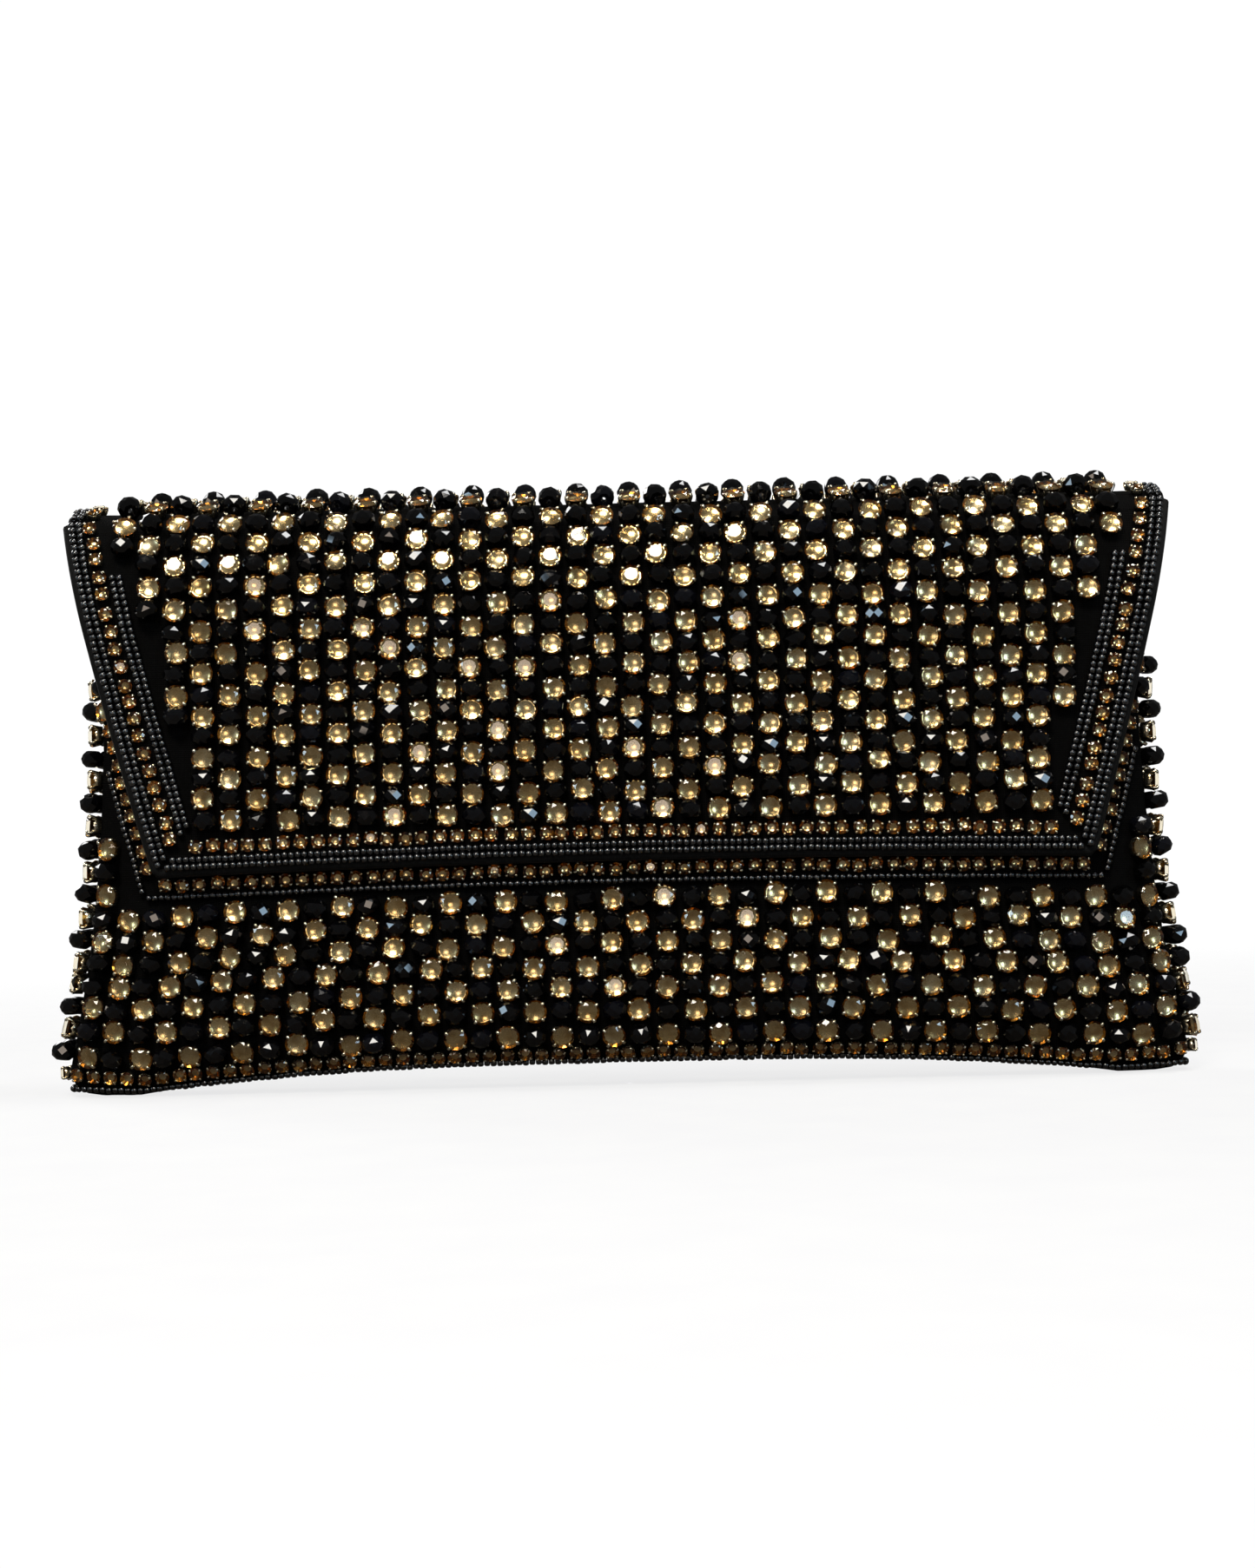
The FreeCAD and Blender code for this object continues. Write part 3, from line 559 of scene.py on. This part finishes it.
def add_stones(name, body, crystal_node, setting_node, loose=1.0):
    """Foils, crowns and claws of one group, which share one scatter; the small ones of a chain apart."""
    foot, axis, radius, _ = seats(crystal_node)
    for small in (False, True):
        pick = (radius < CHAIN_LIMIT * MM) == small
        if not pick.any():
            continue
        label = f"{name}_chain" if small and (~pick).any() else name
        seat = foot[pick] - axis[pick] * (CHAIN_CUP if small else FIELD_CUP) * MM
        shift = (0.08 if small else 0.16) * loose
        origin, turn = bead_frames(seat, axis[pick], twist=9, tilt=4.0 * loose, shift=shift)
        shapes = CHAIN if small else FIELD
        for kind, shape, look, slot, node_name in (
            ("foils", shapes[0], foil, "crystal", crystal_node),
            ("crowns", shapes[1], crown, "crystal", crystal_node),
            ("claws", shapes[2], claws, "setting", setting_node),
        ):
            obj = scatter(f"{label}_{kind}", shape, origin, turn, smooth=kind == "claws")
            piece(obj, look, slot, body, node_name)


def add_rondelles(name, body, rondelle_node, loose=1.0):
    foot, axis, *_ = seats(rondelle_node)
    middle = foot + axis * RONDELLE_MIDDLE * MM
    origin, turn = bead_frames(middle, axis, twist=12, tilt=8 * loose, shift=0.18 * loose, roll=180)
    obj = scatter(f"{name}_rondelle_beads", RONDELLE, origin, turn, wobble=0.02)
    piece(obj, jet, "rondelle", body, rondelle_node)


def add_seeds(name, body, seed_node):
    foot, axis, _, height = seats(seed_node)
    origin, turn = bead_frames(foot + axis * height[:, None] / 2, axis, twist=60, tilt=5.0, shift=0.05)
    piece(scatter(name, SEED, origin, turn, smooth=True, wobble=0.03), seed_jet, "seed", body, seed_node)


folds = [f"fold_{k}" for k in range(1, 5)]
add_rondelles("back_rest", "pouch", "back_rest_rondelles")
for part, body in (("flap", "flap"), ("front", "pouch"), ("back", "pouch"), *((k, k) for k in folds)):
    # rows on neighbouring strips nearly touch when the fold lies flat, so they are set straighter
    loose = 0.25 if part in folds else 1.0
    add_stones(f"{part}_stone", body, f"{part}_crystals", f"{part}_settings", loose)
    add_rondelles(part, body, f"{part}_rondelles", loose)
for part, body in (("flap_chain", "flap"), ("border_chain", "pouch"), ("bottom_chain", "pouch")):
    add_stones(part, body, f"{part}_crystals", f"{part}_cups")
for part, body in (("flap_edge", "flap"), ("flap_lace", "flap"), ("border", "pouch"), ("bottom", "pouch")):
    add_seeds(f"{part}_seed_beads", body, f"{part}_seeds")
for k in folds:
    add_seeds(f"{k}_seed_beads", k, f"{k}_seeds")


# ---------------------------------------------------------------- cloth: the walls of the pouch, in mm

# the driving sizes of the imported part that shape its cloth
SHIFT_Y, FOOT_SHIFT = 3.0, -1.4
FOOT_IN, ARCH, PANEL_BOTTOM = 107.0, 5.6, 0.2
POWER = 3.5
HALF_WIDTH, CORNER_ROUND = 115, 7
BOTTOM_FLARE, FLARE_HEIGHT = 9, 75
TOP_FLARE, TOP_FLARE_FROM = 1.5, 95
EDGE_DEPTH, ROLL_MIDDLE, ROLL_CORNER = 6, 3.5, 8.5
FRONT_SWELL, FRONT_EASE = 6.0, 1.5
BACK_SWELL, BACK_EASE = 5.5, 1.6
SEAM_BACK, SEAM_HALF = 6.4, 0.075
WALL_TOP = 119  # height of the first fold line, up to which the walls are measured
COLUMN_PITCH, ROW_PITCH = 5.75, 5.2  # the stitches pucker the cloth between the beads


def ease(value):
    value = np.clip(value, 0, 1)
    return value * value * (3 - 2 * value)


def arch_height(x):
    return ARCH * (1 - np.minimum(np.abs(x) / FOOT_IN, 1) ** 3)


def half_width(rise):
    lean = np.clip(1 - rise / CORNER_ROUND, 0, 1)
    flare = BOTTOM_FLARE * np.maximum(1 - rise / FLARE_HEIGHT, 0) ** 2
    spread = TOP_FLARE * np.maximum((rise - TOP_FLARE_FROM) / (WALL_TOP - TOP_FLARE_FROM), 0) ** 2
    return HALF_WIDTH + flare + spread - CORNER_ROUND * (1 - np.sqrt(1 - lean * lean))


def wall(rise, turn, side, inset):
    """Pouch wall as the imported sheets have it; side is -1 in front and 1 behind.

    turn goes from 0 at the left seam to pi at the right one, and inset is the depth below the face.
    """
    rise, turn, inset = np.broadcast_arrays(np.asarray(rise, float), turn, inset)
    reach = np.abs(np.cos(turn)) ** (2 / POWER)
    x = -np.sign(np.cos(turn)) * reach * (half_width(rise) - inset)
    swell, easing = (BACK_SWELL, BACK_EASE) if side > 0 else (FRONT_SWELL, FRONT_EASE)
    roll = ROLL_MIDDLE + (ROLL_CORNER - ROLL_MIDDLE) * np.minimum(np.abs(x) / half_width(rise), 1) ** 3
    half = EDGE_DEPTH + swell * (1 - np.exp(-rise / roll)) - easing * ease((rise - 70) / 45)
    seam = SEAM_BACK * ease((rise - 45) / 67) + side * SEAM_HALF
    deep = half - inset - side * seam
    share = np.abs(np.sin(turn)) ** (2 / POWER)
    low = arch_height(x) + PANEL_BOTTOM
    y = seam + side * deep * share + FOOT_SHIFT * (1 - ease(rise / 45)) + SHIFT_Y
    return np.stack([x, y, low + rise * (WALL_TOP - low) / (WALL_TOP - PANEL_BOTTOM)], axis=-1)


def lengths_along(grid, axis):
    """Length along the rows or columns of a grid of points, from its first line on."""
    step = np.linalg.norm(np.diff(grid, axis=axis), axis=-1)
    start = np.zeros_like(np.take(step, [0], axis=axis))
    return np.cumsum(np.concatenate([start, step], axis=axis), axis=axis)


def sheet(name, outer, inner, pucker=0.0):
    """Closed cloth between two grids of points in mm, its outer face puckered by the stitches.

    The lay attribute and the flat size are measured along the outer face, and so is its area.
    """
    rows, columns = outer.shape[:2]
    u, v = lengths_along(outer, 1), lengths_along(outer, 0)
    u = u - u[:, -1:] / 2
    if pucker:
        across, along = np.gradient(outer, axis=1), np.gradient(outer, axis=0)
        normal = np.cross(across, along)
        normal /= np.maximum(np.linalg.norm(normal, axis=-1, keepdims=True), 1e-9)
        normal *= np.sign(((outer - inner) * normal).sum(-1, keepdims=True))
        wave = np.cos(u * 2 * math.pi / COLUMN_PITCH) * np.cos(v * 2 * math.pi / ROW_PITCH)
        wave += 0.6 * np.sin(u * 0.21 + 1.3 * np.sin(v * 0.13)) + 0.4 * np.sin(v * 0.37 + u * 0.11)
        outer = outer + normal * (wave * pucker)[..., None]
    verts = np.concatenate([outer.reshape(-1, 3), inner.reshape(-1, 3)]) * MM
    index = np.arange(rows * columns).reshape(rows, columns)
    under = index + rows * columns
    face = [index[:-1, :-1], index[:-1, 1:], index[1:, 1:], index[1:, :-1]]
    back = [under[:-1, :-1], under[1:, :-1], under[1:, 1:], under[:-1, 1:]]
    rims = [(index[0], under[0]), (under[-1], index[-1])]
    rims += [(under[:, 0], index[:, 0]), (index[:, -1], under[:, -1])]
    quads = [np.stack(corners, -1).reshape(-1, 4) for corners in (face, back)]
    quads += [np.stack([a[1:], a[:-1], b[:-1], b[1:]], -1) for a, b in rims]
    quads = np.concatenate(quads)
    obj = new_mesh(name, verts, np.full(len(quads), 4), quads.reshape(-1), True)
    lay = obj.data.attributes.new("lay", "FLOAT_VECTOR", "POINT")
    flat = np.stack([u, v, 0 * u], -1).reshape(-1, 3) * MM
    lay.data.foreach_set("vector", np.concatenate([flat, flat]).astype(np.float32).reshape(-1))
    obj.data.set_sharp_from_angle(angle=math.radians(50))
    obj["flat"] = (float(u.max() - u.min()) * MM, float(v.max() - v.min()) * MM)
    cells = np.cross(outer[1:, 1:] - outer[:-1, :-1], outer[1:, :-1] - outer[:-1, 1:])
    obj["area"] = float(np.linalg.norm(cells, axis=-1).sum() / 2) * MM * MM
    return obj


def declare(obj):
    """Reads the flat size of a piece of cloth; for any width it does nothing more."""
    width, length = obj["flat"]
    if min(width, length) < 0.01:
        return


TURN = np.linspace(0, math.pi, 241)[None, :]
WALL_RISES = np.concatenate([[0, 0.4, 0.9, 1.5, 2.2, 3, 4, 5], np.linspace(6.2, 115.3, 86)])
CLOTH, LINING, LINING_INSET = 1.0, 0.5, 2.5


def wall_piece(name, side, inset, thick, rises, look, slot, node_name, pucker):
    rises, inset = np.asarray(rises)[:, None], np.broadcast_to(inset, len(rises))[:, None]
    obj = sheet(name, wall(rises, TURN, side, inset), wall(rises, TURN, side, inset + thick), pucker)
    piece(obj, look, slot, "pouch", node_name)
    declare(obj)


front_rises = np.append(WALL_RISES, 115.5)
back_rises = np.append(WALL_RISES, 116.3)
lining_rises = np.append(WALL_RISES[4:], 115.5)
wall_piece("front_cloth", -1, 0, CLOTH, front_rises, cloth_black, "base_cloth", "front_panel", 0.06)
wall_piece("back_cloth", 1, 0, CLOTH, back_rises, cloth_black, "base_cloth", "back_panel", 0.06)
plain = np.full(len(lining_rises), LINING_INSET)
wall_piece("front_lining_satin", -1, plain, LINING, lining_rises, satin_black, "lining", "front_lining", 0.05)
# The back lining turns over the board's upper edge.
hem_rises = np.concatenate([lining_rises, [115.8, 116.0, 116.1]])
hem_inset = np.concatenate([plain, [2.4, 2.0, 1.3]])
wall_piece("back_lining_satin", 1, hem_inset, LINING, hem_rises, satin_black, "lining", "back_lining", 0.05)

# Ribbon folded over the front wall's top edge: its section, as inset and rise, runs up the outside,
# over the edge and down the inside.
ribbon = [(-0.42, 115.0), (-0.42, 116.4), (-0.1, 117.05), (0.9, 117.35)]
ribbon += [(2.2, 117.35), (3.1, 117.05), (3.42, 116.4), (3.42, 115.2)]
outer = np.stack([wall(rise, TURN[0], -1, inset) for inset, rise in ribbon])
inner = np.stack([wall(min(rise, 116.2), TURN[0], -1, min(max(inset, 0.1), 2.9)) for inset, rise in ribbon])
declare(piece(sheet("mouth_ribbon", outer, inner), ribbon_grey, "binding", "pouch", "mouth_binding"))

# Bottom strip: follows the arch, with its plan inside the walls and its long edges rolled.
STRIP_HALF_LENGTH, STRIP_HALF_DEPTH, STRIP_THICK = 114.9, 4.6, 1.2
EDGE_ROLL = {1: 0.54, 0.93: 0.18}  # how far the long edges are rounded, by share of the half depth
strip_x = STRIP_HALF_LENGTH * np.sin(np.linspace(-math.pi / 2, math.pi / 2, 161))
deep = STRIP_HALF_DEPTH * (1 - np.abs(strip_x / (STRIP_HALF_LENGTH + 0.01)) ** POWER) ** (1 / POWER)
sides = []
for lift, sign in ((0.0, 1), (STRIP_THICK, -1)):
    rows = []
    for share in (-1, -0.93, -0.8, -0.4, 0, 0.4, 0.8, 0.93, 1):
        z = arch_height(strip_x) + lift + sign * EDGE_ROLL.get(abs(share), 0)
        rows.append(np.stack([strip_x, share * deep + SHIFT_Y + FOOT_SHIFT, z], -1))
    sides.append(np.stack(rows))
strip = sheet("bottom_strip", sides[0], sides[1])
declare(piece(strip, cloth_black, "base_cloth", "pouch", "bottom_gusset"))


# ---------------------------------------------------------------- cloth: fold and flap, in mm

STRIP, BEND, FLAP_ARC = 5.3, 30.0, 46.0
COVER_OUT, COVER_IN = 1.65, 0.65  # faces of the fold's cloth above its hinge lines


def along_at(angle):
    return np.array([-math.sin(math.radians(angle)), math.cos(math.radians(angle))])


def out_at(angle):
    return np.array([math.cos(math.radians(angle)), math.sin(math.radians(angle))])


# y and z of the five fold lines, to a hundredth; the first lies in the back wall's top edge
HINGES = [np.round([EDGE_DEPTH + BACK_SWELL - BACK_EASE + SHIFT_Y - COVER_OUT, WALL_TOP], 2)]
for k in range(1, 5):
    HINGES.append(np.round(HINGES[-1] + along_at(BEND * k) * STRIP, 2))
ARC_LENGTH = FLAP_ARC * math.radians(BEND)
STRAIGHT_TOP = HINGES[4][1] - FLAP_ARC * math.sin(math.radians(BEND))
FLAP_TIP, HOLLOW = 47.9, 1.4
FLAP_LENGTH = ARC_LENGTH + STRAIGHT_TOP - FLAP_TIP
FLAP_HALF_TIP, FLAP_HALF_TOP, FLAP_BOW = 100.5, 120.0, 0.6
FLAP_ROOT, FLAP_CLOTH_OUT, FLAP_CLOTH_IN = 2.5, 2.5, 1.5
LAP = 2.7  # how far the last fold cover reaches down the flap


def flap_section(length, out):
    """Place in the y-z plane at this length down the flap and this height above its inner face."""
    turn = 180 - BEND * max(1 - length / ARC_LENGTH, 0)
    centre = HINGES[4] - out_at(180 - BEND) * FLAP_ARC
    place = centre + out_at(turn) * (FLAP_ARC + out)
    return place - np.array([0, max(length - ARC_LENGTH, 0)])


def flap_half(length):
    share = (flap_section(length, 0)[1] - FLAP_TIP) / (HINGES[4][1] - FLAP_TIP)
    bow = FLAP_BOW * 4 * max(share, 0) * (1 - share)
    return FLAP_HALF_TIP + (FLAP_HALF_TOP - FLAP_HALF_TIP) * share + bow


def flap_at(share, length, out, inset):
    y, z = flap_section(length, out)
    return (share * (flap_half(length) - inset), y, z)


def flap_end(share):
    """Length of the flap at this share of its half width; its lower edge rises in the middle."""
    return FLAP_LENGTH - HOLLOW * (1 - share * share)


def flap_grid(out, inset):
    rows = []
    for step in np.linspace(0, 1, 56):
        row = []
        for share in np.linspace(-1, 1, 181):
            length = FLAP_ROOT + (flap_end(share) - inset - FLAP_ROOT) * step
            row.append(flap_at(share, length, out, inset))
        rows.append(row)
    return np.array(rows)


flap_cloth = sheet("flap_cover", flap_grid(FLAP_CLOTH_OUT, 0), flap_grid(FLAP_CLOTH_IN, 0), 0.05)
declare(piece(flap_cloth, cloth_black, "base_cloth", "flap", "flap_cloth"))
flap_satin = sheet("flap_lining_satin", flap_grid(0.0, 0.75), flap_grid(LINING, 0.75), 0.05)
declare(piece(flap_satin, satin_black, "lining", "flap", "flap_lining"))

# Binding round the flap's three free edges: a narrow strip folded over the edge.
down = np.linspace(0.6, FLAP_LENGTH - 1.2, 70)
path = [(-1, t) for t in down]
path += [(s, flap_end(s)) for s in np.linspace(-0.992, 0.992, 150)]
path += [(1, t) for t in down[::-1]]
flat = np.array([(s * flap_half(t), t) for s, t in path])
tangent = np.gradient(flat, axis=0)
tangent /= np.linalg.norm(tangent, axis=1)[:, None]
beyond = np.stack([-tangent[:, 1], tangent[:, 0]], -1)
outer, inner = [], []
# its section, as reach beyond the edge and height above the flap's inner face
section = [(-1.4, 2.75), (-0.5, 2.85), (0.25, 2.6), (0.6, 1.9)]
section += [(0.62, 1.0), (0.35, 0.1), (-0.4, -0.3), (-1.3, -0.25)]
for reach, lift in section:
    for rows, depth in ((outer, 0.0), (inner, 0.3)):
        r = reach - depth if reach > -0.45 else reach
        h = lift + (depth if lift < 1.2 else -depth)
        rows.append([(x + out[0] * r, *flap_section(t + out[1] * r, h)) for (x, t), out in zip(flat, beyond)])
binding = sheet("flap_edge_binding", np.array(outer), np.array(inner))
declare(piece(binding, ribbon_grey, "binding", "flap", "flap_binding"))


def cover(name, k, high, low, look, slot, replaced):
    """Cloth over one hinge line, from the middle of one strip to the middle of the next.

    Its shape bends from one strip into the next, but it is attached to no body. The first starts on the back
    wall's curved edge, the last ends on the flap, whose cloth lies higher.
    """
    angle = BEND * k
    corner = HINGES[k]
    shares = np.linspace(-1, 1, 121)
    middle = len(shares) // 2
    grids = []
    for out in (high, low):
        first = corner - along_at(angle) * STRIP / 2 + out_at(angle) * out
        last = corner + along_at(angle + BEND) * STRIP / 2 + out_at(angle + BEND) * out
        if k == 4:
            last = flap_section(LAP, out + (FLAP_CLOTH_OUT - COVER_OUT) * (look is cloth_black))
        knee = corner + out_at(angle + BEND / 2) * out / math.cos(math.radians(BEND / 2))
        wide_first, wide_last = FLAP_HALF_TOP, FLAP_HALF_TOP if k < 4 else flap_half(LAP)
        rows = []
        for t in np.linspace(0, 1, 13):
            place = first * (1 - t) ** 2 + knee * 2 * t * (1 - t) + last * t * t
            x = shares * (wide_first + (wide_last - wide_first) * t)
            y, z = np.full_like(x, place[0]), np.full_like(x, place[1])
            if k == 0:
                turn = np.arccos(-np.sign(shares) * np.abs(shares) ** (POWER / 2))
                edge = wall(116.15, turn, 1, COVER_OUT - out)
                fade = (1 - t) ** 2
                x = x * (1 - fade) + edge[:, 0] * fade
                y = y + (edge[:, 1] - edge[middle, 1]) * fade
            rows.append(np.stack([x, y, z], -1))
        grids.append(np.stack(rows))
    obj = sheet(name, grids[0], grids[1], 0.04)
    piece(obj, look, slot, None, replaced)
    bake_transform(obj)
    declare(obj)


for k in range(5):
    part = folds[min(k, 3)]
    cover(f"fold_cover_{k + 1}", k, COVER_OUT, COVER_IN, cloth_black, "base_cloth", f"{part}_cloth")
    cover(f"fold_lining_{k + 1}", k, LINING, 0.0, satin_black, "lining", f"{part}_lining")


# ---------------------------------------------------------------- boards and snap

for name in ("front_board", "back_board", "flap_board"):
    nodes[name].data.materials.clear()
    nodes[name].data.materials.append(board)


def snap_part(name, profile, node_name, body):
    """Turned snap piece; profile gives radius and height above its lowest y, both in mm."""
    low, high = (Vector(corner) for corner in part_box(node_name))
    sides = 64
    verts, faces = lathe(profile, sides)
    last = (len(profile) - 1) * sides
    faces += [(last + i, last + (i + 1) % sides, (i + 1) % sides, i) for i in range(sides)]
    x0, z0 = (low.x + high.x) / 2, (low.z + high.z) / 2
    places = [(x0 + x * MM, low.y + z * MM, z0 + y * MM) for x, y, z in verts]
    loops = np.array([v for face in faces for v in reversed(face)])
    obj = new_mesh(name, places, [len(f) for f in faces], loops, True)
    obj.data.set_sharp_from_angle(angle=math.radians(40))
    piece(obj, steel, "snap", body, node_name)


socket = [(2.7, 0.25), (2.9, 0.05), (6.5, 0.0), (6.95, 0.2), (7.0, 0.6)]
socket += [(6.8, 1.0), (6.2, 1.2), (3.6, 1.2), (3.2, 1.0), (2.7, 0.95)]
snap_part("snap_socket_ring", socket, "snap_socket", "pouch")
stud = [(0.05, 0.0), (6.4, 0.0), (6.9, 0.15), (7.0, 0.6), (6.8, 1.05), (6.1, 1.2)]
stud += [(2.3, 1.2), (2.0, 1.35), (2.0, 1.7), (1.8, 1.95), (0.05, 2.0)]
snap_part("snap_stud_disc", stud, "snap_stud", "flap")
washer = [(2.7, 0.1), (2.8, 0.0), (6.9, 0.0), (7.0, 0.15), (7.0, 0.5), (6.9, 0.6), (2.8, 0.6), (2.7, 0.5)]
snap_part("snap_socket_backing", washer, "snap_socket_washer", "pouch")
snap_part("snap_stud_backing", washer, "snap_stud_washer", "flap")


# ---------------------------------------------------------------- room, light and camera


PURSE_MIDDLE = Vector((0, 0, 0.066))


def area_light(name, place, size, power, colour=(1, 1, 1)):
    """Rectangular lamp that faces the middle of the purse."""
    data = bpy.data.lights.new(name, "AREA")
    data.shape, data.size, data.size_y = "RECTANGLE", *size
    data.energy, data.color = power, colour
    obj = bpy.data.objects.new(name, data)
    obj.location = place
    obj.rotation_euler = (PURSE_MIDDLE - Vector(place)).to_track_quat("-Z", "Y").to_euler()
    bpy.context.scene.collection.objects.link(obj)


area_light("key", (-0.22, -0.95, 0.98), (0.42, 0.30), 9, (1.0, 0.96, 0.89))
area_light("top", (0.35, -0.15, 1.4), (0.5, 0.3), 7)
area_light("rim", (-0.9, 0.9, 0.8), (0.6, 0.6), 8)
area_light("window", (0.75, -0.95, 0.35), (0.16, 0.30), 1.6, (0.55, 0.78, 1.0))
area_light("window_left", (-1.0, -0.7, 0.45), (0.14, 0.20), 1.0, (0.62, 0.82, 1.0))
area_light("card", (-0.07, -0.56, 0.17), (0.13, 0.08), 0.20, (1.0, 0.84, 0.70))
area_light("spark", (0.3, -0.8, 0.7), (0.06, 0.06), 0.4, (1.0, 0.9, 0.75))

# The camera sees a white room; the beads mirror a dim one.
world = bpy.data.worlds.new("studio")
world.use_nodes = True
bpy.context.scene.world = world
tree = world.node_tree
seen = node(tree, "ShaderNodeLightPath").outputs["Is Camera Ray"]
background = tree.nodes["Background"]
background.inputs["Color"].default_value = (1.0, 1.0, 1.0, 1)
tree.links.new(maths(tree, "MULTIPLY_ADD", seen, 0.92, 0.10), background.inputs["Strength"])


def floor_material():
    """Pale matt floor, lifted for the camera so that shadows stay soft, which fades out far away."""
    made, tree = material("pale_floor")
    seen = node(tree, "ShaderNodeLightPath").outputs["Is Camera Ray"]
    grain = noise(tree, 60.0)
    pale = ramp(tree, grain, [(0.3, (0.925, 0.925, 0.93)), (0.7, (0.94, 0.94, 0.94))])
    dim = node(tree, "ShaderNodeMix", data_type="RGBA")
    dim.inputs[6].default_value = (0.10, 0.09, 0.08, 1)
    tree.links.new(seen, dim.inputs[0])
    tree.links.new(pale, dim.inputs[7])
    matt = node(tree, "ShaderNodeBsdfDiffuse", {"Color": dim.outputs[2]})
    glow = node(tree, "ShaderNodeEmission", {"Color": pale, "Strength": 1.05})
    lift = maths(tree, "MULTIPLY", seen, 0.80)
    shader = node(tree, "ShaderNodeMixShader", {0: lift, 1: matt.outputs[0], 2: glow.outputs[0]})
    clear = node(tree, "ShaderNodeBsdfTransparent")
    place = node(tree, "ShaderNodeTexCoord").outputs["Object"]
    radius = node(tree, "ShaderNodeVectorMath", {0: place}, operation="LENGTH").outputs["Value"]
    fade = node(tree, "ShaderNodeMapRange", {"Value": radius, "From Min": 0.25, "From Max": 0.75})
    mixed = node(tree, "ShaderNodeMixShader", {0: fade.outputs[0], 1: shader.outputs[0], 2: clear.outputs[0]})
    surface(tree, mixed.outputs[0])
    return made


# The floor lies just under the purse.
verts, faces = lathe([(radius, -0.0001) for radius in (0.0005, 0.35, 1.2, 2.5)], 96)
floor = new_mesh("floor", verts, [4] * len(faces), np.array(faces).reshape(-1))
floor.data.materials.append(floor_material())

camera = bpy.data.objects.new("camera", bpy.data.cameras.new("camera"))
bpy.context.scene.collection.objects.link(camera)
bpy.context.scene.camera = camera
camera.data.lens, camera.data.sensor_width = 51.85, 36.0
camera.data.clip_start, camera.data.clip_end = 0.01, 20
aim = Vector((0.0011, -0.016, 0.0650))
distance, elevation, roll = 0.482, math.radians(-2.0), math.radians(-1.4)
camera.location = aim + Vector((0, -math.cos(elevation), math.sin(elevation))) * distance
facing = (aim - camera.location).to_track_quat("-Z", "Y")
camera.rotation_euler = (facing @ Quaternion((0, 0, 1), roll)).to_euler()
bpy.context.scene.view_settings.view_transform = "Standard"
